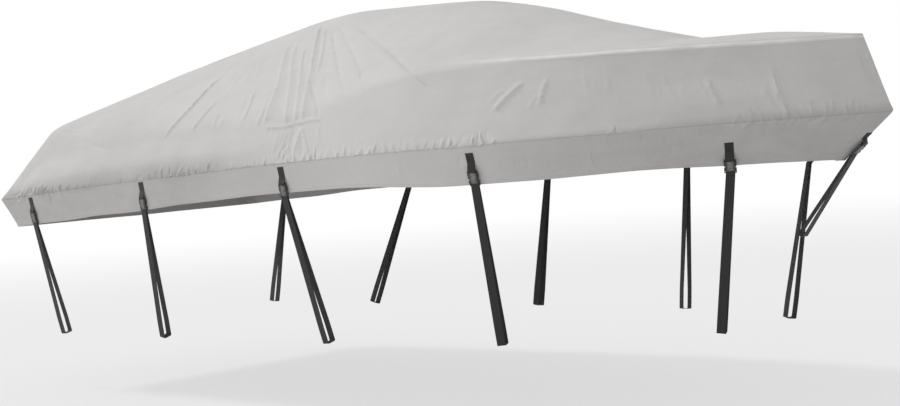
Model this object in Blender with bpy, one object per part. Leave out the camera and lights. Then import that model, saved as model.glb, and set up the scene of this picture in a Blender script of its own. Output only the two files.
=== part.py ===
"""Fitted cover for a 6.4 m V-hull runabout on a trailer, as it hangs when drawn tight.

The cloth is two top panels joined along the centre line and two skirts joined to them along the
gunwale. Eleven ties hang from the skirts, each a sewn tab, the two halves of a side-release
buckle, and a webbing loop that passes round a trailer rail. The boat and trailer are not part of it.

Boat axes, in metres: x runs forward from the transom's top edge, y to port, z up from the ground.
A surface point has two coordinates: its station q, the x where its frame line meets the gunwale,
and its girth s, which is 0 on the centre line, 1 on the shoulder, 2 on the gunwale, 3 at the hem.
"""
import bmesh
import bpy
import numpy as np
from mathutils import Matrix, Vector

# ---- cloth: driving sizes
LENGTH = 6.45                    # transom edge to bow, along the gunwale
HALF_BEAM = 1.235
TRANSOM_SHARE = 0.932            # transom breadth, as a share of the beam
WIDEST_SHARE = 0.403             # where the beam is widest, as a share of the length
BOW_FULLNESS = (2.29, 0.85)      # exponents of the bow's plan curve
GUNWALE_STERN_Z = 1.35
GUNWALE_BOW_Z = 1.537
GUNWALE_RISE = 0.045             # how far the gunwale bows up between its ends
GUNWALE_START = -0.125            # x of the transom's middle, at the gunwale
SIDE_START = 0.14                # station where the transom corner ends and the side begins
TRANSOM_CORNER = (0.20, 6.0)     # depth and squareness of the outline's transom corner

SHOULDER_START = 0.300
SHOULDER_END = 6.30
SHOULDER_HALF_BEAM = 1.053
SHOULDER_TRANSOM_SHARE = 0.872
STERN_TOP_Z = 1.965               # shoulder line at the centre of the stern
SPINE_STERN_RUN = 0.05           # length of the centre line that the stern's frame lines share

HEM_START = 0.013
HEM_END = 6.15
HEM_HALF_BEAM = 1.215
HEM_TRANSOM_SHARE = 0.913

CLOTH = 0.0025                   # thickness with its coating
SEAM_GAP = 0.0003
MERGE = 1e-5                     # points closer than this are one point
GUNWALE_ROUNDING = 0.04          # share of each neighbouring face taken up by the gunwale's bend

# x, height of the shoulder line
SHOULDER_HEIGHTS = ((0.36, 1.81), (1.4, 1.865), (2.4, 1.88), (3.2, 1.925), (3.9, 1.963), (5.0, 1.971), (6.3, 1.948))
# x, height of the centre line: the top stands on a pole at 2.25 and falls to the foredeck at 5.2
SPINE_HEIGHTS = ((0.75, 2.147), (1.45, 2.27), (1.95, 2.35), (2.4, 2.41), (2.68, 2.4235), (2.95, 2.4162), (3.65, 2.389),
                 (3.95, 2.343), (4.58, 2.18), (5.05, 2.062), (5.22, 2.018), (5.7, 2.008), (6.3, 1.948))
# x, share of each side's upper face taken up by the bend over the centre line
CROWN_ROUNDING = ((0.75, 0.20), (1.6, 0.16), (2.25, 0.16), (3.0, 0.45), (4.2, 0.45), (5.2, 0.35), (6.3, 0.20))
# x, share of each neighbouring face taken up by the shoulder's bend: soft aft, a crisp rail forward
SHOULDER_ROUNDING = ((0.36, 0.07), (0.8, 0.22), (1.6, 0.42), (3.0, 0.42), (3.9, 0.12), (4.6, 0.05), (6.3, 0.04))
# x on the gunwale, how far the hem hangs below it
HEM_DROPS = ((0.0, 0.199), (1.5, 0.202), (3.2, 0.176), (4.5, 0.228), (5.6, 0.216), (6.45, 0.240))
# one frame line's x on the gunwale, the shoulder, the centre line and the hem: they fan from the pole
FRAME_LINES = ((0.14, 0.505, 0.80, 0.27), (1.5, 1.55, 1.45, 1.50), (2.75, 2.62, 2.21, 2.74), (3.40, 3.20, 2.34, 3.39),
               (4.2, 4.15, 3.75, 4.16), (5.2, 5.1, 5.0, 5.08), (6.45, 6.30, 6.30, 6.15))

# ---- folds
PLEAT_LEDGE = 1.47               # girth at which the long pleats end
PLEAT_START = 0.04
PLEAT_HALF_WIDTH = 0.036         # at the gunwale, measured along it
# station of a long pleat's ridge, height
LONG_PLEATS = ((2.72, 0.006), (2.90, 0.011), (2.97, 0.010), (3.06, 0.008), (3.15, 0.014), (3.24, 0.012),
               (3.31, 0.010), (3.42, 0.013))
# station at the ledge, station at the gunwale, height: short pleats, from the ledge to the gunwale
SHORT_PLEATS = ((2.90, 2.93, 0.007), (3.03, 2.98, 0.012), (3.12, 3.06, 0.011), (3.18, 3.15, 0.012),
                (3.22, 3.26, 0.012), (3.30, 3.37, 0.009))
# from station, girth, to station, girth, half width, height (below zero for a trough)
CREASES = ((1.70, 0.60, 1.86, 1.60, 0.040, 0.010), (1.82, 0.62, 1.94, 1.50, 0.035, -0.008),
           (2.22, 0.95, 2.20, 1.52, 0.035, 0.008), (2.56, 0.80, 2.66, 1.45, 0.035, 0.008),
           (2.40, 0.55, 2.48, 1.30, 0.035, -0.006), (3.50, 0.20, 3.98, 0.95, 0.035, -0.009),
           (3.98, 1.05, 4.28, 1.50, 0.030, -0.007), (3.46, 0.30, 3.62, 1.00, 0.030, -0.006),
           (4.86, 1.22, 4.58, 1.74, 0.030, -0.010), (4.96, 1.32, 4.88, 1.72, 0.026, -0.008),
           (5.58, 1.45, 5.60, 1.72, 0.024, -0.006), (5.80, 1.45, 5.84, 1.82, 0.026, -0.008),
           (6.08, 1.30, 6.12, 1.92, 0.026, -0.008), (6.21, 1.75, 6.20, 2.00, 0.020, 0.005))
GIRTH_METRES = 0.5               # about one unit of girth on the ground of the cloth

# ---- mesh spacing: last station of a stretch, spacing in it
NEAR_STRETCHES = ((1.40, 0.16), (2.60, 0.08), (2.72, 0.06), (3.44, 0.036), (3.60, 0.08), (4.40, 0.13),
                  (5.90, 0.11), (6.30, 0.08), (6.42, 0.04))
FAR_STRETCHES = ((1.50, 0.20), (2.70, 0.15), (3.42, 0.045), (5.90, 0.15), (6.30, 0.10), (6.42, 0.06))
CORNER_STEPS = 8
# girths of the grid, from the centre line to the gunwale's seam, and from there to the hem
PANEL_GIRTHS = (0, 0.14, 0.30, 0.50, 0.72, 0.92, 1.0, 1.08, 1.22, 1.42, 1.50, 1.70, 1.91, 2.0)
SKIRT_GIRTHS = (2.04, 2.5, 3.0)

# ---- ties: five each side and one at the stem
WEBBING = (0.050, 0.002)         # width, thickness
TAB_LIFT = 0.0006                # clearance over the cloth
TAB_RETURN = 0.010               # end folded back behind the bar
BUCKLE_LIFT = 0.0118             # buckle's middle plane above the cloth
# sewn: length flat on the skirt. tab: from its top end to the buckle's bar.
# loop: clear width and depth where the loop goes round a trailer rail.
SIDE_TIE = {"sewn": 0.058, "tab": 0.104, "loop": (0.054, 0.115)}
# station, distance of the tab's top below the gunwale, then x, distance to the side and z of the
# loop's lowest point, and its turn in plan, degrees
SIDE_TIES = ((0.361, 0.016, 0.38, 0.97, 0.385, 0.0), (1.705, 0.016, 1.51, 0.97, 0.385, 0.0),
             (3.070, 0.023, 3.11, 0.97, 0.385, 0.0), (4.423, 0.048, 4.42, 0.86, 0.390, 25.0),
             (5.776, 0.122, 5.53, 0.33, 0.415, 25.0))
BOW_TIE = {"station": LENGTH, "top": 0.165, "sewn": 0.040, "tab": 0.080, "loop": (0.030, 0.050),
           "end": (5.86, 0.0, 0.905), "turn": 0.0}
LOOP_CORNER = 0.010
LEG_STEPS = (0, 0.3, 0.65, 1)    # where along a leg the webbing turns a little more
STEP = 0.01                      # step used to measure directions along the skirt

BUCKLE_WIDTH = 0.066
BUCKLE_THICKNESS = 0.013
BUCKLE_CORE_WIDTH = 0.036        # socket between the clip's two prongs
BAR = 0.0050                     # side of the square bars that the webbing goes round
FIT = 0.0004                     # clearance between pieces that hold each other
SOCKET_NECK = 0.022              # from the socket's bar to where its core begins
SOCKET_END = 0.053               # from the socket's bar to its mouth
PRONG_WIDTH = 0.0070             # the clip's prongs, behind their heads
PRONG_HEAD = (0.005, 0.014, 0.020)   # from a prong's tip: end of its lead-in, of its head, of its shoulder
BUCKLE_BEVEL = 0.005
CLIP_SHOULDER = 0.064            # from the socket's bar to the end of the clip's solid part
CLIP_BAR = 0.080                 # from the socket's bar to the clip's bar
SLOT = 0.006                     # gap beside a bar, for the webbing
RIM = 0.006                      # frame beside a bar's ends
TURN_RADIUS = BAR * 0.71 + FIT + WEBBING[1] / 2   # of webbing round a bar, clear of the bar's corners

# The part's origin is under the crown of the cover, where the boat holds it up.
CROWN_X = 2.90


# ---- curves through tables
def table_curve(x, rows, column=1):
    """Smooth curve through a table's rows that never overshoots them."""
    rows = np.array(rows)
    xs, ys = rows[:, 0], rows[:, column]
    step = np.diff(xs)
    slope = np.diff(ys) / step
    tangent = np.empty_like(ys)
    steady = slope[:-1] * slope[1:] > 0
    tangent[1:-1] = np.where(steady, 2 * slope[:-1] * slope[1:] / np.where(steady, slope[:-1] + slope[1:], 1), 0)
    tangent[0], tangent[-1] = slope[0], slope[-1]
    x = np.clip(x, xs[0], xs[-1])
    i = np.clip(np.searchsorted(xs, x, side="right") - 1, 0, len(xs) - 2)
    t = (x - xs[i]) / step[i]
    return ((1 + 2 * t) * (1 - t) ** 2 * ys[i] + t * (1 - t) ** 2 * step[i] * tangent[i]
            + t * t * (3 - 2 * t) * ys[i + 1] + t * t * (t - 1) * step[i] * tangent[i + 1])


def half_breadth(x, half_beam, transom_share, length):
    """Half breadth of the plan outline: a parabola aft of the widest place, a fuller curve to the bow."""
    t = x / length
    aft = transom_share + (1 - transom_share) * (1 - (1 - np.clip(t / WIDEST_SHARE, 0, 1)) ** 2)
    along = np.clip((t - WIDEST_SHARE) / (1 - WIDEST_SHARE), 0, 1)
    fore = (1 - along ** BOW_FULLNESS[0]) ** BOW_FULLNESS[1]
    return half_beam * np.where(t < WIDEST_SHARE, aft, fore)


def corner_outline(turn, corner):
    """Share of depth and of breadth round a transom corner, a superellipse, for turn from 0 to 1."""
    angle = np.clip(turn, 0, 1) * np.pi / 2
    return corner[0] * (1 - np.cos(angle) ** (2 / corner[1])), np.sin(angle) ** (2 / corner[1])


def side_line(turn, q, start, end, half_beam, transom_share, column):
    """x, distance to the side, and share of the transom's breadth for one line that runs round the boat."""
    depth, share = corner_outline(turn, TRANSOM_CORNER)
    x = np.where(turn < 1, start + depth, table_curve(q, FRAME_LINES, column) if column else q)
    side = half_breadth(x, half_beam, transom_share, end) * np.where(turn < 1, share, 1)
    return x, side, share


def lengthwise_lines(turn, q):
    """Centre line, shoulder, gunwale and hem, starboard side, one point of each per frame line.

    turn goes from 0 at the stern's centre to 1 where the side starts, and q is the station after that.
    """
    def line(x, side, z):
        return np.stack([x, -side, z], axis=-1)

    x, side, _ = side_line(turn, q, GUNWALE_START, LENGTH, HALF_BEAM, TRANSOM_SHARE, 0)
    t = x / LENGTH
    z = GUNWALE_STERN_Z + (GUNWALE_BOW_Z - GUNWALE_STERN_Z) * t + 4 * GUNWALE_RISE * t * (1 - t)
    gunwale = line(x, side, z)
    hem_z = z - table_curve(x, HEM_DROPS)
    x, side, _ = side_line(turn, q, HEM_START, HEM_END, HEM_HALF_BEAM, HEM_TRANSOM_SHARE, 3)
    hem = line(x, side, hem_z)
    x, side, share = side_line(turn, q, SHOULDER_START, SHOULDER_END, SHOULDER_HALF_BEAM,
                               SHOULDER_TRANSOM_SHARE, 1)
    z = table_curve(x, SHOULDER_HEIGHTS)
    shoulder = line(x, side, z + np.where(turn < 1, (STERN_TOP_Z - z) * (1 - share ** 2), 0))
    spine_start = FRAME_LINES[0][2] - SPINE_STERN_RUN
    x = np.where(turn < 1, spine_start + SPINE_STERN_RUN * turn, table_curve(q, FRAME_LINES, 2))
    centre = line(x, 0 * x, table_curve(x, SPINE_HEIGHTS))
    return centre, shoulder, gunwale, hem


def rounded_section(lines, girths):
    """Points at each girth: straight faces between the lines, with a rounded bend at each line.

    The bends are parabolas. The crown's passes through the centre line, the other two cut their corners.
    """
    centre, shoulder, gunwale, hem = lines
    crown = table_curve(centre[:, 0], CROWN_ROUNDING)[:, None]
    peak = (centre - crown / 2 * shoulder) / (1 - crown / 2)
    peak[:, 1] = 0
    across = peak + (shoulder - peak) * np.array([1, -1, 1])
    shoulder_share = table_curve(shoulder[:, 0], SHOULDER_ROUNDING)[:, None]
    gunwale_share = np.full_like(crown, GUNWALE_ROUNDING)
    s = girths[None, :, None]
    faces = (peak, shoulder, gunwale, hem)
    points = np.zeros((len(centre), len(girths), 3))
    for k in range(3):
        on_face = (s >= k) & (s <= k + 1)
        points = np.where(on_face, faces[k][:, None] + (faces[k + 1] - faces[k])[:, None] * (s - k), points)
    bends = ((0, across, peak, shoulder, crown), (1, peak, shoulder, gunwale, shoulder_share),
             (2, shoulder, gunwale, hem, gunwale_share))
    for at, before, corner, after, share in bends:
        u = np.clip((s - at + share[:, None]) / (2 * share[:, None]), 0, 1)
        first = corner + (before - corner) * share
        last = corner + (after - corner) * share
        bend = (1 - u) ** 2 * first[:, None] + 2 * u * (1 - u) * corner[:, None] + u * u * last[:, None]
        points = np.where(np.abs(s - at) < share[:, None], bend, points)
    return points


# ---- folds, as heights above the smooth cloth
def smooth_ramp(x, start, end):
    t = np.clip((x - start) / (end - start), 0, 1)
    return t * t * (3 - 2 * t)


def fold_heights(q, s):
    """Height of the folds at stations q and girths s: pleats under the pole and single creases."""
    height = np.zeros(np.broadcast(q, s).shape)
    fade_in = smooth_ramp(s, PLEAT_START, 0.8)
    above = fade_in * (1 - smooth_ramp(s, PLEAT_LEDGE - 0.03, PLEAT_LEDGE + 0.03))
    for ridge, rise in LONG_PLEATS:
        height += rise * np.clip(1 - np.abs(q - ridge) / PLEAT_HALF_WIDTH, 0, 1) * above
    below = smooth_ramp(s, PLEAT_LEDGE - 0.02, PLEAT_LEDGE + 0.06) * (1 - smooth_ramp(s, 1.86, 1.95))
    for top, bottom, rise in SHORT_PLEATS:
        ridge = top + (bottom - top) * np.clip((s - PLEAT_LEDGE) / (2 - PLEAT_LEDGE), 0, 1)
        height += rise * np.clip(1 - np.abs(q - ridge) / PLEAT_HALF_WIDTH, 0, 1) * below
    for q0, s0, q1, s1, half_width, rise in CREASES:
        along = np.array([q1 - q0, (s1 - s0) * GIRTH_METRES])
        length = np.hypot(*along)
        along /= length
        dq, ds = q - q0, (s - s0) * GIRTH_METRES
        run = (dq * along[0] + ds * along[1]) / length
        off = (dq * along[1] - ds * along[0]) / half_width
        ends = smooth_ramp(run, -0.05, 0.3) * (1 - smooth_ramp(run, 0.7, 1.05))
        height += rise * np.exp(-off * off * 1.5) * ends
    return height


# ---- the cloth's grid
def stations(stretches):
    """turn and q of every frame line: round the transom corner, then along the side to the bow."""
    side = [np.array([SIDE_START])]
    for end, spacing in stretches:
        start = side[-1][-1]
        side.append(np.linspace(start, end, max(2, round((end - start) / spacing) + 1))[1:])
    side = np.append(np.concatenate(side), LENGTH)
    corner = np.linspace(0, 1, CORNER_STEPS, endpoint=False)
    turn = np.concatenate([corner, np.ones(len(side))])
    return turn, np.concatenate([np.full(CORNER_STEPS, SIDE_START), side])


def outward(points):
    """Unit directions out of the cloth: each point's faces averaged, level across the centre line."""
    face = np.cross(points[:-1, 1:] - points[1:, :-1], points[1:, 1:] - points[:-1, :-1])
    normal = np.zeros_like(points)
    for rows in (slice(None, -1), slice(1, None)):
        for columns in (slice(None, -1), slice(1, None)):
            normal[rows, columns] += face
    # frame lines that end in one point at the bow share its direction
    together = np.linalg.norm(points[-1] - points[-1, 0], axis=-1) < MERGE
    normal[-1, together] = normal[-1, together].sum(axis=0)
    normal[np.abs(points[..., 1]) < MERGE, 1] = 0
    return normal / np.linalg.norm(normal, axis=-1, keepdims=True)


def cloth_grid(turn, q, girths):
    """Outer points of the folded cloth and the outward directions there, starboard side."""
    points = rounded_section(lengthwise_lines(turn, q), girths)
    height = fold_heights(q[:, None], girths[None, :]) * (turn >= 1)[:, None]
    points = points + outward(points) * height[..., None]
    return points, outward(points)


# ---- objects
def material(name, colour, roughness):
    new = bpy.data.materials.new(name)
    new.use_nodes = True
    shader = new.node_tree.nodes["Principled BSDF"]
    shader.inputs["Base Color"].default_value = (*colour, 1)
    shader.inputs["Roughness"].default_value = roughness
    new.diffuse_color = (*colour, 1)
    return new


def add_object(name, mesh, look, parent):
    if not mesh.materials:
        mesh.materials.append(look)
    made = bpy.data.objects.new(name, mesh)
    made.parent = parent
    bpy.context.scene.collection.objects.link(made)
    return made


def closed_mesh(name, vertices, faces):
    """Mesh of one closed body of triangles that face out, its coinciding points made one."""
    mesh = bpy.data.meshes.new(name)
    mesh.from_pydata([tuple(v) for v in vertices], [], faces)
    work = bmesh.new()
    work.from_mesh(mesh)
    bmesh.ops.remove_doubles(work, verts=work.verts, dist=MERGE)
    bmesh.ops.triangulate(work, faces=work.faces)
    bmesh.ops.recalc_face_normals(work, faces=work.faces)
    work.to_mesh(mesh)
    work.free()
    return mesh


def sheet_mesh(name, front, back, ring=False):
    """Closed sheet between two grids of points: two skins and the edge round them.

    A ring's last row joins its first.
    """
    rows, columns = front.shape[:2]
    near = np.arange(rows * columns).reshape(rows, columns)
    if ring:
        near = np.vstack([near, near[:1]])
    far = near + rows * columns
    quads = [(near[:-1, :-1], near[:-1, 1:], near[1:, 1:], near[1:, :-1]),
             (far[:-1, :-1], far[1:, :-1], far[1:, 1:], far[:-1, 1:])]
    edges = [(far[:, 0], near[:, 0]), (near[:, -1], far[:, -1])]
    if not ring:
        edges += [(near[0], far[0]), (far[-1], near[-1])]
    quads += [(a[:-1], b[:-1], b[1:], a[1:]) for a, b in edges]
    faces = np.concatenate([np.stack([corner.ravel() for corner in quad], axis=1) for quad in quads])
    return closed_mesh(name, np.concatenate([front.reshape(-1, 3), back.reshape(-1, 3)]), faces.tolist())


def prism_mesh(name, outline, thickness, hole=()):
    """Plate of one thickness with the given outline and at most one hole of as many points."""
    loops = [outline, hole] if hole else [outline]
    vertices = [(x, y, z) for z in (-thickness / 2, thickness / 2) for loop in loops for x, y in loop]
    count = len(outline)
    layer = len(vertices) // 2
    following = [(i + 1) % count for i in range(count)]
    faces = [(i, j, j + layer, i + layer) for i, j in enumerate(following)]
    if hole:
        faces += [(count + j, count + i, count + i + layer, count + j + layer) for i, j in enumerate(following)]
        faces += [(i, j, count + j, count + i) for i, j in enumerate(following)]
        faces += [(layer + j, layer + i, layer + count + i, layer + count + j) for i, j in enumerate(following)]
    else:
        faces += [tuple(range(count)), tuple(range(2 * count - 1, count - 1, -1))]
    return closed_mesh(name, vertices, faces)


# ---- cloth
def add_side(side, stretches, suffix, panel_look, skirt_look, parent):
    """Top panel and skirt of one side: 1 is starboard, -1 is port, its mirror image."""
    turn, q = stations(stretches)
    girths = np.array(PANEL_GIRTHS + SKIRT_GIRTHS)
    seam = len(PANEL_GIRTHS) - 1
    points, normals = cloth_grid(turn, q, girths)
    for name, part, look in (("panel", slice(0, seam + 1), panel_look), ("skirt", slice(seam, None), skirt_look)):
        outer = points[:, part].copy()
        edge, inside = (-1, -2) if name == "panel" else (0, 1)
        pull = outer[:, inside] - outer[:, edge]
        outer[:, edge] += pull / np.linalg.norm(pull, axis=1, keepdims=True) * SEAM_GAP / 2
        inner = outer - normals[:, part] * CLOTH
        for skin in (outer, inner):
            skin[..., 1] = np.minimum(skin[..., 1], -SEAM_GAP / 2) * side
        add_object(name + suffix, sheet_mesh(name + suffix, outer, inner), look, parent)


# ---- ties
def skirt_patch(q, distances):
    """Skirt points and outward directions, starboard side, at stations q and distances below the gunwale."""
    sample = np.concatenate([q - STEP, q, np.minimum(q + STEP, LENGTH)])
    lines = lengthwise_lines(np.ones(len(sample)), sample)
    gunwale, hem = lines[2], lines[3]
    slope = (hem - gunwale) / np.linalg.norm(hem - gunwale, axis=1, keepdims=True)
    grid = gunwale[None] + slope[None] * distances[:, None, None]
    before, at, after = np.split(grid, 3, axis=1)
    down = np.broadcast_to(np.split(slope, 3)[1], at.shape)
    normal = np.cross(down, after - before)
    on_stem = q > LENGTH - STEP / 2
    normal[:, on_stem, 1] = 0
    return at, normal / np.linalg.norm(normal, axis=-1, keepdims=True)


def mirrored(vectors, side):
    return vectors * np.array([1, side, 1])


def unit(vector):
    return vector / np.linalg.norm(vector)


def tie_patch(tie, side):
    """Rows down and columns across of the cloth under a tie's sewn tab, with the directions out of it.

    The rows run square to the gunwale, so their stations make up for the slant of the frame lines.
    """
    distances = tie["top"] + np.linspace(0, tie["sewn"], 3)
    half = WEBBING[0] / 2
    if tie["station"] < LENGTH:
        start = skirt_patch(np.array([tie["station"], tie["station"] + STEP]), np.array([0, STEP]))[0]
        per_station = np.linalg.norm(start[0, 1] - start[0, 0]) / STEP
        slant = unit(start[1, 0] - start[0, 0]).dot(unit(start[0, 1] - start[0, 0]))
        rows = []
        for distance in distances / np.sqrt(1 - slant ** 2):
            q = tie["station"] + (np.array([-half, 0, half]) - slant * distance) / per_station
            rows.append(skirt_patch(q, np.array([distance])))
        points = np.concatenate([row[0] for row in rows])
        out = np.concatenate([row[1] for row in rows])
        return mirrored(points, side), mirrored(out, side)
    # at the stem the tab is folded over the centre line: find the stations that lie so far to the side
    scan = np.linspace(LENGTH - 0.05, LENGTH, 200)
    reach = half_breadth(scan, HALF_BEAM, TRANSOM_SHARE, LENGTH)
    q = np.interp([half, half / 2], reach[::-1], scan[::-1])
    points, out = skirt_patch(np.array([q[0], q[1], LENGTH]), distances)
    port = [mirrored(grid[:, :2], -1)[:, ::-1] for grid in (points, out)]
    return np.concatenate([points, port[0]], axis=1), np.concatenate([out, port[1]], axis=1)


def tie_frame(points, out):
    """Top point of a tie and its directions across, down and out, a right-handed set."""
    middle = points.shape[1] // 2
    down = unit(points[-1, middle] - points[0, middle])
    away = unit(out[0, middle] - down * out[0, middle].dot(down))
    return points[0, middle], np.cross(down, away), down, away


def band_mesh(name, middle, thickness, ring=False):
    """Webbing of one thickness along a grid of points on its middle surface."""
    rows = np.concatenate([middle[-1:], middle, middle[:1]]) if ring else middle
    along = np.gradient(rows, axis=0)[1:-1] if ring else np.gradient(rows, axis=0)
    normal = np.cross(along, np.gradient(middle, axis=1))
    normal /= np.linalg.norm(normal, axis=-1, keepdims=True)
    return sheet_mesh(name, middle + normal * thickness / 2, middle - normal * thickness / 2, ring)


def tab_middle(tie, points, out, frame):
    """Middle surface of a tab: sewn to the skirt, then up, round the socket's bar and back under itself."""
    top, across, down, away = frame
    rows = list(points + out * (TAB_LIFT + WEBBING[1] / 2))
    offsets = np.linspace(-1, 1, points.shape[1]) * WEBBING[0] / 2
    if across.dot(points[0, -1] - points[0, 0]) < 0:
        offsets = -offsets

    def row(along, height):
        return top + down * along + away * height + across * offsets[:, None]

    flat = row(tie["tab"] - 2 * TURN_RADIUS, BUCKLE_LIFT + TURN_RADIUS)
    rows.append((rows[-1] + flat) / 2)
    rows.append(flat)
    for angle in np.radians((90, 45, 0, -45, -90)):
        rows.append(row(tie["tab"] + TURN_RADIUS * np.cos(angle), BUCKLE_LIFT + TURN_RADIUS * np.sin(angle)))
    rows.append(row(tie["tab"] - TAB_RETURN, BUCKLE_LIFT - TURN_RADIUS))
    return np.array(rows)


def loop_middle(tie, side, frame):
    """Middle line of a loop, a closed ring: over the clip's bar, down both legs and under the rail."""
    top, across, down, away = frame
    bar = top + down * (tie["tab"] + CLIP_BAR) + away * BUCKLE_LIFT
    end = mirrored(np.array(tie["end"]) * np.array([1, -1, 1]), side)
    leg = unit(end - bar)
    turn = np.radians(tie["turn"])
    rail = np.array([np.cos(turn), np.sin(turn) * side, 0]) if tie["station"] < LENGTH else np.array([0, 1.0, 0])
    rail = unit(rail - leg * rail.dot(leg)) * np.sign(rail.dot(across))
    fall = unit(leg - across * leg.dot(across))
    front = unit(away - fall * away.dot(fall))
    gap, depth = tie["loop"]
    half = (gap + WEBBING[1]) / 2
    outward_end = np.cross(rail, leg)
    outward_end *= np.sign(outward_end.dot(front))

    def leg_rows(sign):
        start = bar + sign * front * TURN_RADIUS
        knee = end - leg * depth + sign * outward_end * half
        return [(start + (knee - start) * u, unit(across + (rail - across) * u)) for u in LEG_STEPS]

    def corner_rows(sign):
        centre = end - leg * LOOP_CORNER + sign * outward_end * (half - LOOP_CORNER)
        return [(centre + LOOP_CORNER * (sign * outward_end * np.cos(a) + leg * np.sin(a)), rail)
                for a in np.radians((0, 45, 90))]

    over = [(bar + TURN_RADIUS * (front * np.cos(a) - fall * np.sin(a)), across) for a in np.radians((135, 90, 45))]
    path = over + leg_rows(1) + corner_rows(1) + corner_rows(-1)[::-1] + leg_rows(-1)[::-1]
    offsets = np.array([-1, 1]) * WEBBING[0] / 2
    return np.array([point + width * offsets[:, None] for point, width in path])


def joined_prisms(name, plate, frame, scratch):
    """One mesh from a thick plate and the thinner frame that carries its bar."""
    first = bpy.data.objects.new(name, plate)
    second = bpy.data.objects.new(name + "_frame", frame)
    for piece in (first, second):
        scratch.objects.link(piece)
    union = first.modifiers.new("frame", "BOOLEAN")
    union.operation = "UNION"
    union.object = second
    bpy.context.view_layer.update()
    mesh = bpy.data.meshes.new_from_object(first.evaluated_get(bpy.context.evaluated_depsgraph_get()))
    mesh.name = name
    for piece in (first, second):
        bpy.data.objects.remove(piece)
    return mesh


def bar_frame(name, bar_y, inside):
    """Thin frame round a bar at bar_y: inside is the y of its far member, past the webbing's slot."""
    half, bar, rim = BUCKLE_WIDTH / 2, BAR / 2, RIM
    toward = np.sign(inside - bar_y)
    outer = [(-half, bar_y - toward * bar), (half, bar_y - toward * bar), (half, inside), (-half, inside)]
    slot = [(-half + rim, bar_y + toward * bar), (half - rim, bar_y + toward * bar),
            (half - rim, bar_y + toward * (bar + SLOT)), (-half + rim, bar_y + toward * (bar + SLOT))]
    return prism_mesh(name, outer, BAR, slot)


def socket_mesh(scratch):
    """Socket of the buckle: wide head, then a core between the places of the clip's prongs."""
    half, core, bevel = BUCKLE_WIDTH / 2, BUCKLE_CORE_WIDTH / 2, BUCKLE_BEVEL
    head = BAR / 2 + SLOT
    right = [(half - bevel, head), (half, head + bevel), (half, SOCKET_NECK), (core, SOCKET_NECK), (core, SOCKET_END)]
    outline = right + [(-x, y) for x, y in right[::-1]]
    plate = prism_mesh("socket_plate", outline, BUCKLE_THICKNESS)
    return joined_prisms("socket", plate, bar_frame("socket_bar", 0.0, head + bevel), scratch)


def clip_mesh(scratch):
    """Clip of the buckle: a shoulder, two prongs with swollen heads beside the core, and its bar."""
    half, core = BUCKLE_WIDTH / 2, BUCKLE_CORE_WIDTH / 2 + FIT
    start, tip, prong = SOCKET_END + FIT, SOCKET_NECK + FIT, core + PRONG_WIDTH
    lead, head, shoulder = (tip + length for length in PRONG_HEAD)
    right = [(core, start), (core, tip), (prong, tip), (half, lead), (half, head), (prong, shoulder),
             (prong, start - BUCKLE_BEVEL), (half, start)]
    outline = [(half, CLIP_SHOULDER), (-half, CLIP_SHOULDER)] + [(-x, y) for x, y in right[::-1]] + right
    plate = prism_mesh("clip_plate", outline, BUCKLE_THICKNESS)
    frame = bar_frame("clip_bar", CLIP_BAR, CLIP_SHOULDER - BUCKLE_BEVEL)
    return joined_prisms("clip", plate, frame, scratch)


def add_tie(tie, side, suffix, looks, meshes, parent):
    """One tie: tab, socket, clip and loop. side is 1 for starboard and the stem, -1 for port."""
    points, out = tie_patch(tie, side)
    frame = tie_frame(points, out)
    tab = band_mesh("tab" + suffix, tab_middle(tie, points, out, frame), WEBBING[1])
    add_object("tab" + suffix, tab, looks["webbing"], parent)
    loop = band_mesh("loop" + suffix, loop_middle(tie, side, frame), WEBBING[1], ring=True)
    add_object("loop" + suffix, loop, looks["webbing"], parent)
    top, across, down, away = frame
    place = Matrix([[*row, 0] for row in np.stack([across, down, away], axis=1)] + [[0, 0, 0, 1]])
    place.translation = Vector(top + down * tie["tab"] + away * BUCKLE_LIFT)
    for kind, mesh in meshes.items():
        add_object(kind + suffix, mesh, looks["buckle"], parent).matrix_local = place


def main():
    for old in list(bpy.data.objects):
        bpy.data.objects.remove(old)
    looks = {
        "panel": material("panel cloth", (0.62, 0.61, 0.595), 0.8),
        "skirt": material("skirt cloth", (0.47, 0.45, 0.43), 0.85),
        "webbing": material("black webbing", (0.025, 0.025, 0.027), 0.7),
        "buckle": material("black nylon", (0.04, 0.04, 0.045), 0.4),
    }
    boat = bpy.data.objects.new("boat", None)
    boat.location = (-CROWN_X, 0, CLOTH - table_curve(CROWN_X, SPINE_HEIGHTS))
    bpy.context.scene.collection.objects.link(boat)
    add_side(1, NEAR_STRETCHES, "_starboard", looks["panel"], looks["skirt"], boat)
    add_side(-1, FAR_STRETCHES, "_port", looks["panel"], looks["skirt"], boat)
    scratch = bpy.context.scene.collection
    meshes = {"socket": socket_mesh(scratch), "clip": clip_mesh(scratch)}
    for number, (station, top, x, reach, z, turn) in enumerate(SIDE_TIES, start=1):
        tie = dict(SIDE_TIE, station=station, top=top, end=(x, reach, z), turn=turn)
        add_tie(tie, 1, f"_starboard_{number}", looks, meshes, boat)
        add_tie(tie, -1, f"_port_{number}", looks, meshes, boat)
    add_tie(BOW_TIE, 1, "_bow", looks, meshes, boat)


main()
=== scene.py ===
"""Looks of a fitted boat cover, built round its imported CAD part.

The cloth is drawn on boat axes, in metres: x forward from the transom, y to port, z up from the
ground. A place on it has a station q, the x where its frame line meets the gunwale, and a girth s:
0 on the centre seam, 1 on the shoulder, 2 on the gunwale, 3 at the hem. The far side is the near
side's mirror image. At the end of a mesh's making it moves to the part's own origin, under the crown.
"""

import bpy
import numpy as np
from mathutils import Matrix


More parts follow.
